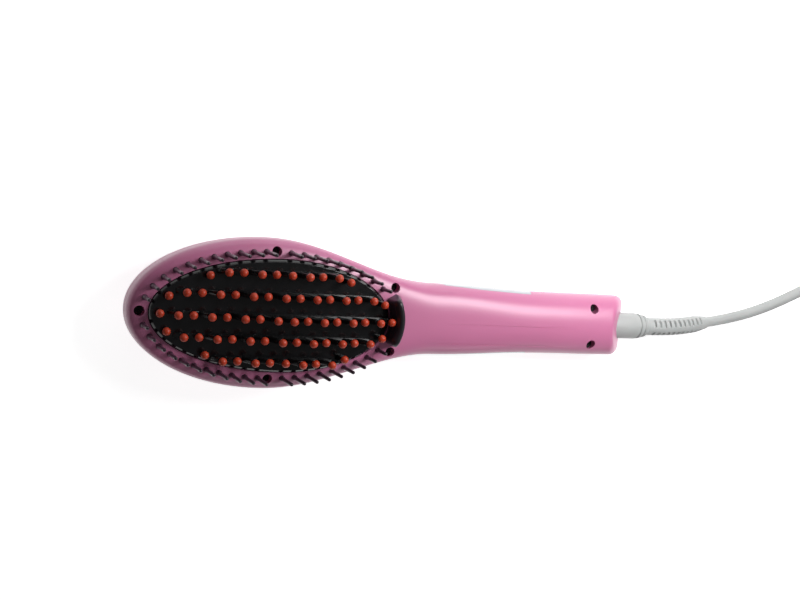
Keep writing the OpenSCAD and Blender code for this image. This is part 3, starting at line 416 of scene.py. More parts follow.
TAIL_LINE = [
    (COIL_X + COIL_LEAD, COIL_MAX_R, COIL_LOW + COIL_PITCH),
    (213, COIL_MAX_R - 0.3, COIL_LOW + COIL_PITCH - 0.3), (224, 45.7, 8.7), (235, 44.5, 6.2),
    (246, 43.1, 4.2), (257, 42, 3.7), (267, 41.3, 5), (276, 41, 6.6), PLUG_FROM,
]


def ease(t):
    """0 to 1 for t from 0 to 1, with a soft start and end."""
    return (1 - math.cos(math.pi * min(max(t, 0), 1))) / 2


def eased(x, low, high):
    return ease((x - low) / (high - low))


def smooth_line(points, steps):
    """A Catmull-Rom line through points, steps to a stretch."""
    points = [Vector(p) for p in points]
    line = []
    for i in range(len(points) - 1):
        a, b = points[max(i - 1, 0)], points[i]
        c, d = points[i + 1], points[min(i + 2, len(points) - 1)]
        for j in range(steps):
            t = j / steps
            line.append(
                0.5 * (2 * b + (c - a) * t + (2 * a - 5 * b + 4 * c - d) * t**2
                       + (3 * b - a - 3 * c + d) * t**3)
            )
    return line + [points[-1]]


def coil_point(turn):
    """The coil winds in on the lower layer, climbs midway and winds out on the upper one."""
    radius = COIL_MIN_R + COIL_PITCH * abs(turn)
    angle = math.radians(90 - 360 * (turn + COIL_TURNS / 2))
    z = COIL_LOW + COIL_PITCH * ease((turn + CLIMB / 2) / CLIMB)
    return Vector((COIL_X + radius * math.cos(angle), radius * math.sin(angle), z))


def lead_line(coil_steps=48, line_steps=5):
    coil = [coil_point(i / coil_steps - COIL_TURNS / 2) for i in range(COIL_TURNS * coil_steps + 1)]
    return smooth_line(RUN_LINE, line_steps) + coil + smooth_line(TAIL_LINE, line_steps)


def line_length(line):
    return sum((b - a).length for a, b in zip(line, line[1:]))


def sweep(line, ring_at, sides, place):
    """A tube along line: ring_at(i, angle) is its radius, and both ends are closed."""
    points = []
    n = len(line)
    for i, centre in enumerate(line):
        ahead = (line[min(i + 1, n - 1)] - line[max(i - 1, 0)]).normalized()
        across = ahead.cross(Vector((0, 0, 1))).normalized()
        up = across.cross(ahead)
        for k in range(sides):
            a = 2 * math.pi * k / sides
            p = centre + ring_at(i, a) * (math.cos(a) * across + math.sin(a) * up)
            points.append(place(*p))
    return points, tube_faces(n, sides)


def add_lead():
    """The whole lead as one cord, from the relief's tip to the plug."""
    line = lead_line()
    curve = bpy.data.curves.new("mains_lead", "CURVE")
    curve.dimensions = "3D"
    spline = curve.splines.new("POLY")
    spline.points.add(len(line) - 1)
    for point, p in zip(spline.points, line):
        point.co = (*lead_point(*p), 1)
    spline.use_smooth = True
    curve.bevel_depth = LEAD_D / 2 * MM
    curve.bevel_resolution = 4
    curve.use_fill_caps = True
    lead = bpy.data.objects.new("mains_lead", curve)
    bpy.context.scene.collection.objects.link(lead)
    curve.materials.append(mats["lead_pvc"])
    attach(lead, body_of["cord_run"])
    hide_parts("cord_run", "cord_coil", "cord_tail")
    return lead, line_length(line) * MM


PLUG_RELIEF_L = 16
PLUG_NECK_L = 12
PLUG_NECK_W = 13
PLUG_BODY_L = 34
PLUG_BODY_W = 35
PLUG_BODY_H = 13.7
NECK_ROUND = 6.3          # corner radius of the section where the neck starts
BODY_ROUND = 5.1          # the same on the body
PLUG_NOSE_R = 1.4
PLUG_SIDES = 40


def plug_ring(x, half_w, half_h, round_r):
    """A rounded-rectangle ring across the plug at x from its start."""
    x0, y0, z0 = PLUG_FROM
    ring = []
    for k in range(PLUG_SIDES):
        a = 2 * math.pi * (k + 0.5) / PLUG_SIDES
        sy, sz = (1 if math.cos(a) >= 0 else -1), (1 if math.sin(a) >= 0 else -1)
        y = sy * (half_w - round_r) + round_r * math.cos(a)
        z = sz * (half_h - round_r) + round_r * math.sin(a)
        ring.append(lead_point(x0 + x, y0 + y, z0 + z))
    return ring


def plug_body_data(neck_steps=8):
    """The neck that widens to the flat body with its rounded front edge."""
    neck = PLUG_NECK_W / 2
    half_w, half_h = PLUG_BODY_W / 2, PLUG_BODY_H / 2
    rings = [plug_ring(PLUG_RELIEF_L - 0.4, neck - 1.2, neck - 1.2, 5.2)]
    for i in range(neck_steps + 1):
        t = i / neck_steps
        w = neck + (PLUG_BODY_W - PLUG_NECK_W) / 2 * ease(t) - 0.1
        h = neck + (PLUG_BODY_H - PLUG_NECK_W) / 2 * t - 0.1
        corner = NECK_ROUND - (NECK_ROUND - BODY_ROUND) * t
        rings.append(plug_ring(PLUG_RELIEF_L + PLUG_NECK_L * t, w, h, corner))
    front = PLUG_RELIEF_L + PLUG_BODY_L
    for x in (PLUG_RELIEF_L + PLUG_NECK_L + 6, front - PLUG_NOSE_R):
        rings.append(plug_ring(x, half_w, half_h, BODY_ROUND))
    for degrees in (30, 60, 90):
        a = math.radians(degrees)
        x = front - PLUG_NOSE_R * (1 - math.sin(a))
        less = PLUG_NOSE_R * (1 - math.cos(a))
        rings.append(plug_ring(x, half_w - less, half_h - less, BODY_ROUND - less))
    return [p for ring in rings for p in ring], tube_faces(len(rings), PLUG_SIDES)


def plug_relief_data(ribs=5, pitch=2.9):
    """The ribbed sleeve between the lead and the plug's neck."""
    x0, y0, z0 = PLUG_FROM
    profile = [(0, 0.0), (3.4, 0.0), (3.6, 0.4)]
    for i in range(ribs):
        x = 1.6 + i * pitch
        r = 3.7 + x / PLUG_RELIEF_L
        profile += [(r, x), (r + 0.15, x + 0.3), (r + 0.15, x + 1.5), (r, x + 1.8)]
        profile += [(r - 0.55, x + 2.0), (r - 0.55, x + 2.7)]
    end = PLUG_RELIEF_L
    profile += [(4.8, end - 0.2), (5.2, end + 0.6), (0, end + 0.6)]
    return lathe(profile, 32, lambda a, b, h: lead_point(x0 + h, y0 + a, z0 + b))


def add_plug():
    return add_piece("plug", join_data([plug_body_data(), plug_relief_data()]), "plug_body", 40)


def strap_loop(grow, steps=8):
    """The strap's loop round both layers, as (x, z) from the coil's middle, grown outwards."""
    inner = COIL_MIN_R - LEAD_D / 2 - TIE_SLACK + TIE_BEND
    outer = COIL_MAX_R + LEAD_D / 2 + TIE_SLACK - TIE_BEND
    low = TIE_T + TIE_BEND
    high = COIL_LOW + COIL_PITCH + LEAD_D / 2 + TIE_CLEAR - TIE_BEND
    loop = []
    for x, z, start in ((outer, high, 0), (inner, high, 90), (inner, low, 180), (outer, low, 270)):
        loop += arc_points(x, z, TIE_BEND + grow, [start + 90 * i / steps for i in range(steps + 1)])
    return loop


def add_tie():
    """A strap round both layers of the coil."""
    inside, outside = strap_loop(0), strap_loop(TIE_T - 0.02)
    half = TIE_W / 2
    n = len(inside)
    points = []
    for loop_points, y in ((outside, -half), (outside, half), (inside, half), (inside, -half)):
        points += [lead_point(COIL_X + x, y, z) for x, z in loop_points]
    faces = []
    for r in range(4):
        for k in range(n):
            a, b = r * n + k, r * n + (k + 1) % n
            c, d = ((r + 1) % 4) * n + (k + 1) % n, ((r + 1) % 4) * n + k
            faces.append((a, b, c, d))
    return add_piece("coil_strap", (points, faces), "coil_tie", angle=50)


# ------------------------------ strain relief
RELIEF_LINE = [
    (15.6, 0, 0), (24, 0, 0), (34, 0.3, -0.5), (42, 0.8, -1.7), (51, 1.6, -3.9),
    (56, 2.1, -5.3), (60, 2.5, -6.5),
]
COLLAR_D = 14.3
COLLAR_L = 9.2
COLLAR_IN = 7.5           # how far the collar reaches into the handle
SPIGOT = (2.5, 13)        # radius and depth of the part behind the collar
SLEEVE_RADII = [(0, 4.9), (16, 4.9), (52, 4.7), (60, 3.7), (99, 3.7)]
SLOT_FIRST = 19.9         # near edge of the first slot, from the handle's end
SLOT_PITCH = 3.27
SLOT_W = 1.45
SLOT_COUNT = 11
SLOT_HALF = 26            # degrees, each way from a slot's middle
SLOT_DEEP = 1.3
SLOT_ROWS = 4
SLOT_TURN = 17            # degrees that the rows are turned by
SLOT_SLOPE = 0.22         # over which a slot's side falls to its floor


def between(pairs, at):
    """The value at a place, on straight lines through pairs of (place, value)."""
    for (x0, y0), (x1, y1) in zip(pairs, pairs[1:]):
        if at <= x1:
            return y0 + (y1 - y0) * (at - x0) / (x1 - x0)
    return pairs[-1][1]


def add_strain_relief():
    """The collar with its two grooves, and the sleeve with four rows of slots."""
    r, x = COLLAR_D / 2, COLLAR_L
    core, deep = SPIGOT
    profile = [
        (0, -deep), (core, -deep), (core, -COLLAR_IN - 0.2), (r - 0.2, -COLLAR_IN - 0.2), (r, -COLLAR_IN),
        (r, x - 0.3), (r - 0.08, x - 0.08), (r - 0.3, x), (r - 0.85, x + 0.06),
        (r - 0.9, x + 0.2), (r - 0.9, x + 1.1), (r - 0.85, x + 1.24), (r - 0.5, x + 1.3),
        (r - 0.33, x + 1.42), (r - 0.28, x + 1.7), (r - 0.42, x + 2.8), (r - 0.55, x + 3.05),
        (r - 0.7, x + 3.12), (r - 1.35, x + 3.2), (r - 1.4, x + 3.3), (r - 1.4, x + 4.2),
        (r - 1.35, x + 4.32), (r - 1.15, x + 4.38), (r - 1.02, x + 4.5), (r - 1.0, x + 4.7),
        (r - 1.15, x + 5.9), (r - 1.3, x + 6.25), (r - 1.6, x + 6.45), (r - 2.0, x + 6.7),
        (5.0, x + 7.1), (4.86, x + 7.5), (0, x + 7.5),
    ]
    collar = lathe(profile, 96, lambda a, b, h: lead_point(h, a, AXIS_Z + b))
    line = smooth_line([(x, y, AXIS_Z + z) for x, y, z in RELIEF_LINE], 48)

    def radius(i, angle):
        """The sleeve's radius, less at a slot."""
        x = line[i].x
        out = between(SLEEVE_RADII, x)
        step = (x - SLOT_FIRST) / SLOT_PITCH
        inside = (step - math.floor(step)) * SLOT_PITCH
        if 0 <= step < SLOT_COUNT and inside < SLOT_W:
            quarter = 360 / SLOT_ROWS
            turn = (math.degrees(angle) + SLOT_TURN) % quarter
            across = math.radians(SLOT_HALF - abs(turn - quarter / 2)) * out
            edge = min(inside, SLOT_W - inside, across)
            if edge > 0:
                out -= SLOT_DEEP * min(edge / SLOT_SLOPE, 1)
        return out

    sleeve = sweep(line, radius, 96, lead_point)
    return add_piece("strain_relief_boot", join_data([collar, sleeve]), "strain_relief", angle=38)


lead, lead_length = add_lead()
plug = add_plug()
strap = add_tie()
boot = add_strain_relief()

# ------------------------------ shape of the shells
HEAD_W = 74.6
HEAD_MID = 69.0
NECK_W = 37.0
HANDLE_W = 33.0
NECK_AT = 160.0
SLIM_AT = 230.0
FRONT_H = 12.0
HEAD_BACK_H = 16.4
NECK_BACK_H = 13.4
HANDLE_BACK_H = 16.2
NECK_BACK = (80, 150)     # where the back's depth changes to the neck's
HANDLE_BACK = (205, BRUSH_L - 13)
NECK_FRONT = (118, 162)   # where the front's fullness changes to the neck's
HANDLE_FRONT = (165, 215)
BACK_CHANGE = (100, 160)
HEAD_FULL = 5             # fullness of the front at the head
NECK_LESS = 2.2
HANDLE_LESS = 0.6
BACK_FULL = 2.4           # fullness of the back at the head
BACK_MORE = 0.2
WALL = 2.4
SEAM_GAP = 0.2
END_R = 5.0
SPINE_START = 40.0
SPINE_END = 4.0
END_LEAN = 0.8
LEAN_L = 35.0
SEAM_LOW = 0.2            # degrees up the front's section
SEAM_RISE = 23.8
SEAM_CLIMB = (130, 190)


def half_width(x):
    """Half the shells' width: an ellipse at the nose, then two eased steps to the handle."""
    if x < HEAD_MID:
        return HEAD_W / 2 * math.sqrt(max(1 - ((HEAD_MID - x) / HEAD_MID) ** 2, 0))
    neck, handle = eased(x, HEAD_MID, NECK_AT), eased(x, NECK_AT, SLIM_AT)
    return HEAD_W / 2 + (NECK_W - HEAD_W) / 2 * neck + (HANDLE_W - NECK_W) / 2 * handle


def back_depth(x):
    neck, handle = eased(x, *NECK_BACK), eased(x, *HANDLE_BACK)
    return HEAD_BACK_H + (NECK_BACK_H - HEAD_BACK_H) * neck + (HANDLE_BACK_H - NECK_BACK_H) * handle


def depth(x, side):
    return FRONT_H if side == FRONT else back_depth(x)


def fullness(x, side):
    """The exponent of a shell's section: 2 is an ellipse, more is fuller."""
    if side == FRONT:
        return HEAD_FULL - NECK_LESS * eased(x, *NECK_FRONT) - HANDLE_LESS * eased(x, *HANDLE_FRONT)
    return BACK_FULL + BACK_MORE * eased(x, *BACK_CHANGE)


def base_z(side):
    return -FRONT_H + side * SEAM_GAP / 2


def half_outline(inset, nose=36, stations=92, corner=10):
    """One side of the shells' outline from above: the head's nose, the neck, the end's corner."""
    r = max(END_R - inset, 1)
    cx = BRUSH_L - inset - r
    side = []
    for i in range(1, nose):
        a = math.pi / 2 * i / nose
        side.append((HEAD_MID - (HEAD_MID - inset) * math.cos(a), (HEAD_W / 2 - inset) * math.sin(a)))
    for i in range(stations):
        x = HEAD_MID + i * (cx - HEAD_MID) / stations
        side.append((x, half_width(x) - inset))
    for i in range(corner + 1):
        a = math.pi / 2 * i / corner
        side.append((cx + r * math.sin(a), half_width(BRUSH_L) - inset - r * (1 - math.cos(a))))
    return side


def full_outline(inset):
    side = half_outline(inset)
    return [(inset, 0.0)] + side + [(x, -y) for x, y in reversed(side)]


def shell_point(p, phi, inset, side):
    """The point of a shell over p of its outline, phi up its section from the seam's level."""
    sx = min(max(p[0], SPINE_START), BRUSH_L - inset - SPINE_END)
    n = fullness(sx, side)
    s = math.cos(phi) ** (2 / n)
    h = depth(sx, side) - SEAM_GAP / 2 - inset
    z = base_z(side) + side * h * math.sin(phi) ** (2 / n)
    return leaned(sx + (p[0] - sx) * s, p[1] * s, z)


def leaned(x, y, z):
    """The front of the handle's end leans in."""
    share = min(max((x - BRUSH_L + LEAN_L) / LEAN_L, 0), 1)
    return x - END_LEAN * max(z - base_z(FRONT), 0) * share, y, z


def seam_phi(x):
    """How far up the front form the seam lies: it climbs from the neck to the handle."""
    return math.radians(SEAM_LOW + SEAM_RISE * eased(x, *SEAM_CLIMB))


def form_point(p, level, inset, side):
    """A shell's point: level runs from the seam, and below 0 up the front form (back shell)."""
    lift = seam_phi(p[0])
    if side == FRONT:
        return shell_point(p, lift + (math.pi / 2 - lift) * level / 90, inset, FRONT)
    if level >= 0:
        return shell_point(p, math.radians(level), inset, BACK)
    x, y, z = shell_point(p, -lift * level, inset, FRONT)
    return x, y, z - SEAM_GAP


SEAM_LEVELS = [-1, -0.75, -0.5, -0.25]
LEVELS = [0, 0.6, 2, 5, 9, 13, 18, 23, 28, 33, 38, 43, 48, 53, 58, 63, 68, 73, 77, 81, 84, 86.5, 88.5]


def shell_data(side):
    """A shell with its wall as one closed solid: outside, seam, inside."""
    points = []
    outer, inner = full_outline(0), full_outline(WALL)
    n = len(outer)
    above = SEAM_LEVELS if side == BACK else []
    rows = [("o", level) for level in reversed(above + LEVELS)]
    rows += [("i", level) for level in above[::2] + LEVELS[:1] + LEVELS[3::2]]
    for kind, level in rows:
        rim, inset = (outer, 0) if kind == "o" else (inner, WALL)
        points += [brush_point(*form_point(p, level, inset, side)) for p in rim]
    return points, ring_faces(len(rows), n) + cap_faces(0, n) + cap_faces((len(rows) - 1) * n, n)


def front_z(x, y):
    """Height of the front shell's outside."""
    sx = min(max(x, SPINE_START), BRUSH_L)
    n = fullness(sx, FRONT)
    s = math.hypot((sx - x) / SPINE_START, y / half_width(sx))
    return base_z(FRONT) + (FRONT_H - SEAM_GAP / 2) * max(1 - s**n, 0) ** (1 / n)


def back_z(x, y, inset):
    """Height of a surface that lies inset behind the back shell's outside."""
    n = fullness(x, BACK)
    s = abs(y) / (half_width(x) - inset)
    return base_z(BACK) - (back_depth(x) - SEAM_GAP / 2 - inset) * max(1 - s**n, 0) ** (1 / n)


# ------------------------------ plate, pins and bristles
RIM_SIDE = 9.5
PLATE_X = 76.0
PLATE_FRONT = 66.5
PLATE_REAR = 55.5
PLATE_W = HEAD_W - 2 * RIM_SIDE
PLATE_TOP = 1.6
PLATE_FLANGE = 1.2
ROW_PITCH = PLATE_W / 5.2
PIN_PITCH = 7.73
TALLEST_PIN = 20.9
PIN_STEP = 3.2
BOW_MID = 78.0
BOW_REACH = 58.0
FRONT_BOW = (9.6, 1.15)   # the bow's drop at its end, and its exponent
REAR_BOW = (7.6, 1.5)
BALL_D = 4.0
PIN_D = 1.8
FIN_W = 2.6
FIN_LOW = PLATE_TOP - 0.3
PLATE_GAP = 0.35
ROWS = [-2, -1, 0, 1, 2]
ROW_COUNT = [16, 15, 10]
ROW_START = [13.8, 17.5, 36.5]
ROW_DROP = [0, 2.2, 3.4]
END_PIN_IN = 2.2
NECK_L = 4.6              # from a ball's middle to its post's foot
LEAST_NECK = 1.2
VALLEY = 0.35             # of the teeth's height, between two of them


def plate_outline(grow, step=3):
    """The plate's oval: its rear half is a little shorter."""
    out = []
    for a in range(0, 360, step):
        c, s = math.cos(math.radians(a)), math.sin(math.radians(a))
        reach = PLATE_REAR if c > 0 else PLATE_FRONT
        out.append((PLATE_X + (reach + grow) * c, (PLATE_W / 2 + grow) * s))
    return out


def pin_x(row, i):
    return ROW_START[abs(row)] + i * PIN_PITCH


def from_end(row, i):
    return min(i, ROW_COUNT[abs(row)] - 1 - i)


def pin_y(row, i):
    """The first and last pin of a side row stand a little inwards."""
    inward = END_PIN_IN * (1 if row > 0 else -1) if row and from_end(row, i) == 0 else 0
    return row * ROW_PITCH - inward


def ball_z(row, i):
    """The balls' tops lie on a bow that falls to both ends and to the sides."""
    x = pin_x(row, i)
    drop, power = FRONT_BOW if x < BOW_MID else REAR_BOW
    bow = drop * (abs(x - BOW_MID) / BOW_REACH) ** power
    top = TALLEST_PIN - bow - ROW_DROP[abs(row)] - (PIN_STEP if from_end(row, i) % 2 == 0 else 0)
    return max(PLATE_TOP + BALL_D + LEAST_NECK, top) - BALL_D / 2


def tooth_z(row, i):
    return max(ball_z(row, i) - NECK_L, PLATE_TOP + 0.6)


PINS = [(row, i) for row in ROWS for i in range(ROW_COUNT[abs(row)])]

BRISTLE_X = 71.0
BRISTLE_REACH = 65.0
BRISTLE_SIDE = HEAD_W / 2 - 6.1
BRISTLE_PITCH = 6.55
RING_TOP = -4.9
BRISTLE_FOOT_R = 1.3
BRISTLE_HOLE_R = 1.45
BRISTLE_TIP_R = 0.9
BRISTLE_TALL = 15.8
BRISTLE_BOW = 6.2
FRONT_BRISTLES = (5.6, 11)        # first place from the side's middle, and how many
REAR_BRISTLES = (7, 9)


def oval(a):
    return BRISTLE_X - BRISTLE_REACH * math.cos(a), BRISTLE_SIDE * math.sin(a)


def oval_places():
    """The bristles' places, by running length along the oval on each side."""
    lengths, points = [0.0], [oval(0)]
    for k in range(1, 181):
        p = oval(math.radians(k))
        lengths.append(lengths[-1] + math.dist(p, points[-1]))
        points.append(p)
    half = lengths[-1]
    wanted = [half / 2 - FRONT_BRISTLES[0] - i * BRISTLE_PITCH for i in range(FRONT_BRISTLES[1])]
    wanted += [half / 2 + REAR_BRISTLES[0] + i * BRISTLE_PITCH for i in range(REAR_BRISTLES[1])]
    places = []
    for s in wanted:
        k = max(j for j in range(180) if lengths[j] <= s)
        a = math.radians(k + (s - lengths[k]) / (lengths[k + 1] - lengths[k]))
        x, y = oval(a)
        places += [(x, y), (x, -y)]
    return places


BRISTLES = oval_places()
HEAD_SCREWS = [(5.4, 0), (70.6, 31.5), (70.6, -31.5), (134.3, 16.4), (134.3, -16.4)]
HANDLE_SCREWS = [(251.8, -9.7), (251.8, 9.7)]
RECESS_D = 5.0
SCREWS = HEAD_SCREWS + HANDLE_SCREWS
BOSS_FLOOR = -7           # where a recess ends and its screw's hole starts
BOSS_END = -10
BOSS_WALL = 0.9
BOSS_HOLE_R = 1.5
BOSS_BELOW = 1.2          # of a boss's top under the surface
COLLAR_CLEAR = 0.3
COLLAR_HOLE_L = 10
GROOVES = [               # from x, to x, y, half width, depth
    (166, 239, -1.0, 0.3, 0.22),
    (157, 241, -11.6, 0.6, 0.3),
]


def groove_data(x0, x1, y, width, deep, steps=40):
    """A cutter for a fine groove along the handle that fades out at both ends."""
    points = []
    for i in range(steps + 1):
        t = i / steps
        x = x0 + t * (x1 - x0)
        fade = math.sin(math.pi * t) ** 0.5 if 0 < t < 1 else 0.0
        z = front_z(x, y)
        floor = z - 0.02 - deep * fade
        slope = (front_z(x, y + 0.3) - front_z(x, y - 0.3)) / 0.6
        for side, h in ((-1, z + 0.6), (1, z + 0.6), (0, floor)):
            points.append(brush_point(x, y + side * width, h + side * width * slope))
    return points, tube_faces(steps + 1, 3)


def collar_hole():
    """A cutter for the hole in the handle's end that the collar turns in."""
    r = COLLAR_D / 2 + COLLAR_CLEAR
    low, high = BRUSH_L - COLLAR_HOLE_L, BRUSH_L + 2
    profile = [(0, low), (r, low), (r, high), (0, high)]
    return lathe(profile, 64, lambda a, b, h: brush_point(h, a, -FRONT_H + b))


def boss_data(x, y):
    """A screw's boss: its top follows the surface from below."""
    hole = RECESS_D / 2
    wall = hole + BOSS_WALL
    profile = [
        (hole, 0), (wall, 0), (wall, BOSS_END), (BOSS_HOLE_R, BOSS_END),
        (BOSS_HOLE_R, BOSS_FLOOR), (hole, BOSS_FLOOR), (hole, 0),
    ]

    def place(a, b, h):
        top = front_z(x + a, y + b) - BOSS_BELOW
        return brush_point(x + a, y + b, top if h > top or h == 0 else h)

    return lathe(profile, 40, place)


def add_front_shell():
    piece = add_piece("front_shell", shell_data(FRONT), "front_housing", angle=None)
    opening = prism(plate_outline(PLATE_GAP), -FRONT_H - 1, 2)
    holes = [rod(x, y, RING_TOP - 2, 2, BRISTLE_HOLE_R, 24) for x, y in BRISTLES]
    recesses = [rod(x, y, -FRONT_H - 1, 3, RECESS_D / 2, 40) for x, y in SCREWS]
    cut(piece, join_data([opening, *holes, *recesses, collar_hole()]))
    cut(piece, join_data([groove_data(*groove) for groove in GROOVES]))
    bosses = new_mesh("bosses", *join_data([boss_data(x, y) for x, y in SCREWS]))
    fix_normals(bosses)
    bm = bmesh.new()
    bm.from_mesh(piece.data)
    bm.from_mesh(bosses)
    bm.to_mesh(piece.data)
    bm.free()
    bpy.data.meshes.remove(bosses)
    smooth_by_angle(piece.data, 38)


# ------------------------------ panel, window and keys
PANEL_AT = 164.0
PANEL_L = 53.0
PANEL_SLANT = 5.0
PANEL_T = 1.3
PANEL_EDGE = 1.1          # degrees between the panel and the seam
POCKET_GAP = 0.15
KEY_GAP = 0.25
KEY_OUT = 0.7
LENS_X = (PANEL_AT + 5, PANEL_AT + 26)
WINDOW_X = (PANEL_AT + 3, PANEL_AT + 54.2)
WINDOW_Y = 11.2
POWER_AT = (PANEL_AT + 48, 0.0)
POWER_R = 4.2
LENS_PHI = 60             # degrees up the back's section where the window starts
LENS_IN = 0.15
STEP_X = PANEL_AT + 36.5
STEP_Y = 5.6
STEP_SIZE = (8.4, 7.6)
STEP_R = 2.0
KEY_BACK = PANEL_T + 1.0
FLANGE_IN = PANEL_T + 0.2
FLANGE_OUT = 0.9
KEY_DISH = [              # share of the key's size, and how far it lies under the key's top
    (1.0, 0.5), (0.985, 0.25), (0.95, 0.08), (0.9, 0), (0.75, 0.04), (0.55, 0.12), (0.3, 0.18),
    (0, 0.2),
]


def strip_data(x0, x1, phi0, outer, inner, slant=0.0, seam_side=False, steps=30, arc=60):
    """A curved plate in the back shell's surface, between two insets.

    Its edges lie phi0 degrees from the sides' level or, with seam_side, from the seam.
    """
    points = []
    for i in range(steps + 1):
        for inset, order in ((outer, range(arc + 1)), (inner, range(arc, -1, -1))):
            for k in order:
                x = x0 + i / steps * (x1 - x0)
                start = math.radians(phi0) - (seam_phi(x) if seam_side else 0)
                phi = start + k / arc * (math.pi - 2 * start)
                out = slant * math.sin(phi)
                x = x0 - out + i / steps * (x1 - x0 + 2 * out)
                side = BACK if math.sin(phi) > 0 else FRONT
                n = fullness(x, side)
                c = math.cos(phi)
                y = math.copysign(abs(c) ** (2 / n), c) * (half_width(x) - inset)
                high = depth(x, side) - SEAM_GAP / 2 - inset
                z = base_z(BACK) + side * high * abs(math.sin(phi)) ** (2 / n)
                points.append(brush_point(x, y, z))
    n = 2 * (arc + 1)
    faces = ring_faces(steps + 1, n)
    for start in (0, steps * n):
        for k in range(arc):
            faces.append((start + k, start + k + 1, start + n - 2 - k, start + n - 1 - k))
    return points, faces


def box_data(low, high):
    (x0, y0, z0), (x1, y1, z1) = low, high
    corners = ((x0, y0), (x1, y0), (x1, y1), (x0, y1))
    points = [brush_point(x, y, z) for z in (z0, z1) for x, y in corners]
    faces = [(0, 3, 2, 1), (4, 5, 6, 7), (0, 1, 5, 4), (1, 2, 6, 5), (2, 3, 7, 6), (3, 0, 4, 7)]
    return points, faces


def add_back_shell():
    """The back shell: the flat that it rests on, the panel's pocket and window, the collar's hole."""
    piece = add_piece("back_shell", shell_data(BACK), "back_housing", angle=None)
    cut(piece, box_data((-5, -60, -RIM_H - 6), (BRUSH_L + 5, 60, -RIM_H)))
    pocket = PANEL_AT - POCKET_GAP, PANEL_AT + PANEL_L + POCKET_GAP
    cut(piece, strip_data(*pocket, PANEL_EDGE - 0.5, -1, PANEL_T + 0.05, PANEL_SLANT, True))
    window = (WINDOW_X[0], -WINDOW_Y, -RIM_H - 1), (WINDOW_X[1], WINDOW_Y, -FRONT_H - 3)
    cut(piece, box_data(*window))
    cut(piece, collar_hole())
    smooth_by_angle(piece.data, 38)


def key_shape(which):
    """Outline of a key as (x, y) round its middle, and its middle."""
    if which == 0:
        return arc_points(0, 0, POWER_R, range(0, 360, 6)), POWER_AT
    middle = (STEP_X, STEP_Y if which == 1 else -STEP_Y)
    long, wide = STEP_SIZE[0] / 2 - STEP_R, STEP_SIZE[1] / 2 - STEP_R
    shape = []
    for sx, sy, start in ((1, 1, 0), (-1, 1, 90), (-1, -1, 180), (1, -1, 270)):
        shape += arc_points(sx * long, sy * wide, STEP_R, [start + 90 * i / 12 for i in range(13)])
    return shape, middle


def grown(shape, by):
    """A key's outline, with each point moved outwards from its middle."""
    out = []
    for x, y in shape:
        r = math.hypot(x, y)
        out.append((x * (r + by) / r, y * (r + by) / r))
    return out


def add_key(which, node, name):
    """A key with a dished top that follows the panel, and the flange that keeps it in."""
    shape, (mx, my) = key_shape(which)
    n = len(shape)

    def ring(outline, inset):
        return [brush_point(mx + x, my + y, back_z(mx + x, my + y, inset)) for x, y in outline]

    levels = [(1.0, KEY_BACK)] + [(scale, under - KEY_OUT) for scale, under in KEY_DISH[:-1]]
    points = []
    for scale, inset in levels:
        points += ring([(x * scale, y * scale) for x, y in shape], inset)
    points += ring([(0, 0)], KEY_DISH[-1][1] - KEY_OUT)
    last = (len(levels) - 1) * n
    faces = ring_faces(len(levels), n)
    faces += [(last + k, last + (k + 1) % n, len(points) - 1) for k in range(n)]
    faces.append(tuple(range(n)))
    flange = ring(grown(shape, FLANGE_OUT), KEY_BACK) + ring(grown(shape, FLANGE_OUT), FLANGE_IN)
    add_piece(name, join_data([(points, faces), (flange, tube_faces(2, n))]), node, angle=40)


def add_panel():
    strip = strip_data(PANEL_AT, PANEL_AT + PANEL_L, PANEL_EDGE, 0, PANEL_T, PANEL_SLANT, True)
    piece = add_piece("keypad_panel", strip, "control_panel", angle=None)
    cutters = []
    for which in range(3):
        shape, (mx, my) = key_shape(which)
        hole = [(mx + x, my + y) for x, y in grown(shape, KEY_GAP)]
        cutters.append(prism(hole, -RIM_H - 2, -FRONT_H - 5))
    cut(piece, join_data(cutters))
    cut(piece, strip_data(LENS_X[0] - 0.1, LENS_X[1] + 0.1, LENS_PHI - 0.6, -1, PANEL_T + 1))
    smooth_by_angle(piece.data, 38)


def add_window():
    add_piece("display_window", strip_data(*LENS_X, LENS_PHI, LENS_IN, PANEL_T + 0.3), "display_lens")


# ------------------------------ what stands on the head
def add_plate():
    """The plate: its flange below the rim, then its rounded edge and sloped margin."""
    levels = [
        (-8.0, -5.3), (PLATE_FLANGE, -5.3), (PLATE_FLANGE, -3.8), (0, -3.8), (0, -0.1),
        (-0.06, 0.12), (-0.2, 0.3), (-1.08, 1.5), (-1.14, 1.55), (-1.22, 1.585), (-1.4, PLATE_TOP),
    ]
    points = []
    for grow, z in levels:
        points += [brush_point(x, y, z) for x, y in plate_outline(grow)]
    n = len(plate_outline(0))
    faces = ring_faces(len(levels), n) + cap_faces(0, n) + cap_faces((len(levels) - 1) * n, n)
    add_piece("hot_plate", (points, faces), "heating_plate", angle=30)


def fin_side(row):
    """A fin's outline from the side: a tooth under each post with a notch between two."""
    last = ROW_COUNT[abs(row)] - 1
    half = PIN_PITCH / 2
    first_tooth, last_tooth = (0, last) if row == 0 else (1, last - 1)
    foot = 0.95 if row == 0 else half
    flat = PIN_D / 2 + 0.1
    start, end = pin_x(row, first_tooth) - foot, pin_x(row, last_tooth) + foot
    side = [(start, FIN_LOW), (start, PLATE_TOP + 0.4)]
    for i in range(first_tooth, last_tooth + 1):
        x, z = pin_x(row, i), tooth_z(row, i)
        side += [(x - flat, z), (x + flat, z)]
        if i < last_tooth:
            notch = PLATE_TOP + VALLEY * (min(z, tooth_z(row, i + 1)) - PLATE_TOP)
            side.append((x + half, notch))
    return side + [(end, PLATE_TOP + 0.4), (end, FIN_LOW)]


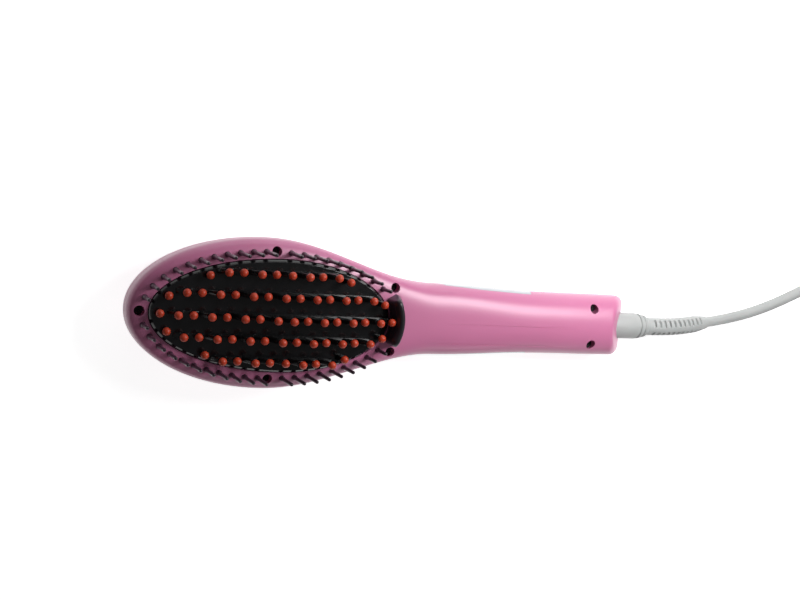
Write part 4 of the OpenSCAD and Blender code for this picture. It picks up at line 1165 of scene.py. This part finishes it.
def end_tooth_side(row, i):
    """The outline of a tooth that stands alone at a side row's end."""
    inward = 1 if i == 0 else -1
    z = tooth_z(row, i)
    corners = ((-0.95, FIN_LOW), (-1.0, z), (1.0, z), (2.15, FIN_LOW))
    return [(pin_x(row, i) + inward * along, height) for along, height in corners]


def side_prism(side, y, width):
    n = len(side)
    points = []
    for edge in (y - width / 2, y + width / 2):
        points += [brush_point(x, edge, z) for x, z in side]
    return points, tube_faces(2, n)


def add_fins():
    parts = []
    for row in ROWS:
        parts.append(side_prism(fin_side(row), row * ROW_PITCH, FIN_W))
        if row:
            for i in (0, ROW_COUNT[abs(row)] - 1):
                parts.append(side_prism(end_tooth_side(row, i), pin_y(row, i), FIN_W))
    piece = add_piece("saw_fins", join_data(parts), "plate_fins", angle=None)
    bevelled(piece, 0.28, 3, 25)
    smooth_by_angle(piece.data, 50)


def add_pins():
    parts = []
    r = PIN_D / 2
    for row, i in PINS:
        low, high = tooth_z(row, i) - 0.2, ball_z(row, i) - 1.0
        profile = [
            (0, low), (r + 0.25, low), (r + 0.1, low + 0.5), (r, low + 0.9), (r - 0.05, high), (0, high),
        ]
        parts.append(upright(profile, pin_x(row, i), pin_y(row, i), 20))
    add_piece("comb_pins", join_data(parts), "brush_pins", angle=40)


def add_balls():
    parts = []
    r = BALL_D / 2
    for row, i in PINS:
        z = ball_z(row, i)
        low = z - r * 0.98
        profile = [(0, low), (PIN_D / 2 + 0.25, low)]
        profile += arc_points(0, z, r, range(-66, 91, 12)) + [(0, z + r)]
        parts.append(upright(profile, pin_x(row, i), pin_y(row, i), 28))
    add_piece("ball_tips", join_data(parts), "pin_tips", angle=50)


def add_bristles():
    """The bristles: a thick foot, a slim shaft and a round tip, shorter towards both ends."""
    parts = []
    foot, r = BRISTLE_FOOT_R, BRISTLE_TIP_R
    for x, y in BRISTLES:
        tip = BRISTLE_TALL - BRISTLE_BOW * ((x - BRISTLE_X) / BRISTLE_REACH) ** 2
        profile = [
            (0, RING_TOP + 0.05), (foot, RING_TOP + 0.05), (foot, 0.6), (1.22, 0.9), (1.08, 1.5),
            (1.0, 2.1), (0.97, 4.0), (0.93, (tip + 4) / 2), (r, tip - r),
        ]
        profile += arc_points(0, tip - r, r, (20, 40, 60, 78)) + [(0, tip)]
        parts.append(upright(profile, x, y, 24))
    add_piece("rim_bristles", join_data(parts), "cooling_bristles", angle=50)


GUARD_R = 28.0
GUARD_X = 139.3 - GUARD_R
GUARD_WIDE = 7.2
GUARD_H = 13.0
GUARD_HALF = 30           # degrees, each way from its middle
GUARD_LIP_R = 1.5
GUARD_END_R = 3.4         # over which an end is rounded
PEG_AT = 20               # degrees from the guard's middle


def guard_section():
    """The guard's section as (radius, height): steep in front, a rounded lip, sloped behind."""
    front, r, h = GUARD_R - GUARD_WIDE, GUARD_R, GUARD_H
    section = [(front, 0.0), (front, h - 3.4), (front + 0.15, h - 2.6), (front + 0.5, h - 1.7)]
    section += arc_points(r - 5.0, h - GUARD_LIP_R, GUARD_LIP_R, range(150, 19, -13))
    section += [(r - 2.9, h - 2.9), (r - 1.9, h - 5.4), (r - 0.9, h - 8.5)]
    return section + [(r - 0.2, 2.4), (r, 1.0), (r, 0.0)]


def guard_places(steps=40):
    """Places along the guard from 0 to 1, closer together at its rounded ends."""
    end = [0.0, 0.004, 0.012, 0.024, 0.04, 0.058, 0.08, 0.105, 0.14]
    middle = [end[-1] + 0.72 * i / steps for i in range(1, steps)]
    return end + middle + [1 - p for p in reversed(end)]


def add_guard():
    """The bent lip, with its ends rounded over, and its two pegs."""
    section, places = guard_section(), guard_places()
    mid_r = GUARD_R - GUARD_WIDE / 2
    half = math.radians(GUARD_HALF)
    points = []
    for t in places:
        a = math.radians(GUARD_HALF * (2 * t - 1))
        end = min(t, 1 - t) * 2 * half * mid_r
        keep = math.sqrt(max(1 - (1 - min(end / GUARD_END_R, 1)) ** 2, 0))
        for radius, height in section:
            r = mid_r + (radius - mid_r) * (0.55 + 0.45 * keep)
            z = height * (0.8 + 0.2 * keep)
            points.append(brush_point(GUARD_X + r * math.cos(a), r * math.sin(a), z))
    parts = [(points, tube_faces(len(places), len(section)))]
    a, r = math.radians(PEG_AT), GUARD_R - 3.2
    for side in (-1, 1):
        parts.append(rod(GUARD_X + r * math.cos(a), side * r * math.sin(a), -3.4, 0.5, 1.5, 24))
    add_piece("rear_guard", join_data(parts), "hand_guard", angle=50)


add_front_shell()
add_back_shell()
add_plate()
add_fins()
add_pins()
add_balls()
add_bristles()
add_guard()
add_panel()
add_window()
add_key(0, "power_button", "power_key_cap")
add_key(1, "plus_button", "plus_key_cap")
add_key(2, "minus_button", "minus_key_cap")


# ------------------------------ stage and light
FLOOR_SIZE = 12.0
FLOOR_UNDER = 0.0002
FLOOR_GLOW = 0.84
WORLD_LIGHT = 0.1
WORLD_SHOWN = 1.0


def add_stage():
    """A plain pale floor that keeps the shadow, and glows to the camera and in reflections."""
    half = FLOOR_SIZE / 2
    corners = [(-half, -half, 0), (half, -half, 0), (half, half, 0), (-half, half, 0)]
    mesh = new_mesh("floor", corners, [(0, 1, 2, 3)])
    floor = bpy.data.objects.new("floor", mesh)
    floor.location.z = -FLOOR_UNDER
    bpy.context.scene.collection.objects.link(floor)
    mat = bpy.data.materials.new("floor")
    mat.use_nodes = True
    nodes, links = mat.node_tree.nodes, mat.node_tree.links
    shader = nodes["Principled BSDF"]
    shader.inputs["Base Color"].default_value = (0.8, 0.8, 0.8, 1)
    shader.inputs["Roughness"].default_value = 0.9
    shader.inputs["Specular IOR Level"].default_value = 0.0
    paths = nodes.new("ShaderNodeLightPath")
    seen = paths.outputs["Is Camera Ray"]
    for kind in ("Is Glossy Ray", "Is Transmission Ray"):
        either = nodes.new("ShaderNodeMath")
        either.operation = "MAXIMUM"
        links.new(seen, either.inputs[0])
        links.new(paths.outputs[kind], either.inputs[1])
        seen = either.outputs[0]
    glow = nodes.new("ShaderNodeMath")
    glow.operation = "MULTIPLY"
    glow.inputs[1].default_value = FLOOR_GLOW
    links.new(seen, glow.inputs[0])
    shader.inputs["Emission Color"].default_value = (1, 1, 1, 1)
    links.new(glow.outputs[0], shader.inputs["Emission Strength"])
    mesh.materials.append(mat)


def add_area(name, place, target, size, power):
    """A rectangular lamp at a place in metres, which looks at a target."""
    data = bpy.data.lights.new(name, "AREA")
    data.shape = "RECTANGLE"
    data.size, data.size_y = size
    data.energy = power
    lamp = bpy.data.objects.new(name, data)
    lamp.location = place
    aim = Vector(target) - Vector(place)
    lamp.rotation_euler = aim.to_track_quat("-Z", "Y").to_euler()
    bpy.context.scene.collection.objects.link(lamp)


def add_world():
    world = bpy.data.worlds.new("world")
    bpy.context.scene.world = world
    world.use_nodes = True
    nodes, links = world.node_tree.nodes, world.node_tree.links
    back = nodes["Background"]
    back.inputs["Color"].default_value = (1, 1, 1, 1)
    paths = nodes.new("ShaderNodeLightPath")
    strength = nodes.new("ShaderNodeMapRange")
    strength.inputs["To Min"].default_value = WORLD_LIGHT
    strength.inputs["To Max"].default_value = WORLD_SHOWN
    links.new(paths.outputs["Is Camera Ray"], strength.inputs["Value"])
    links.new(strength.outputs["Result"], back.inputs["Strength"])


add_stage()
add_world()
add_area("key", (0.17, 0.14, 0.27), (0.165, 0.1, 0), (0.2, 0.14), 1.15)
add_area("side", (0.12, 0.8, 0.22), (0.02, 0, 0.02), (0.8, 0.16), 1.3)
add_area("low", (0.25, -0.8, 0.3), (0.06, 0, 0.02), (0.6, 0.2), 0.9)

bpy.context.scene.view_settings.view_transform = "Standard"
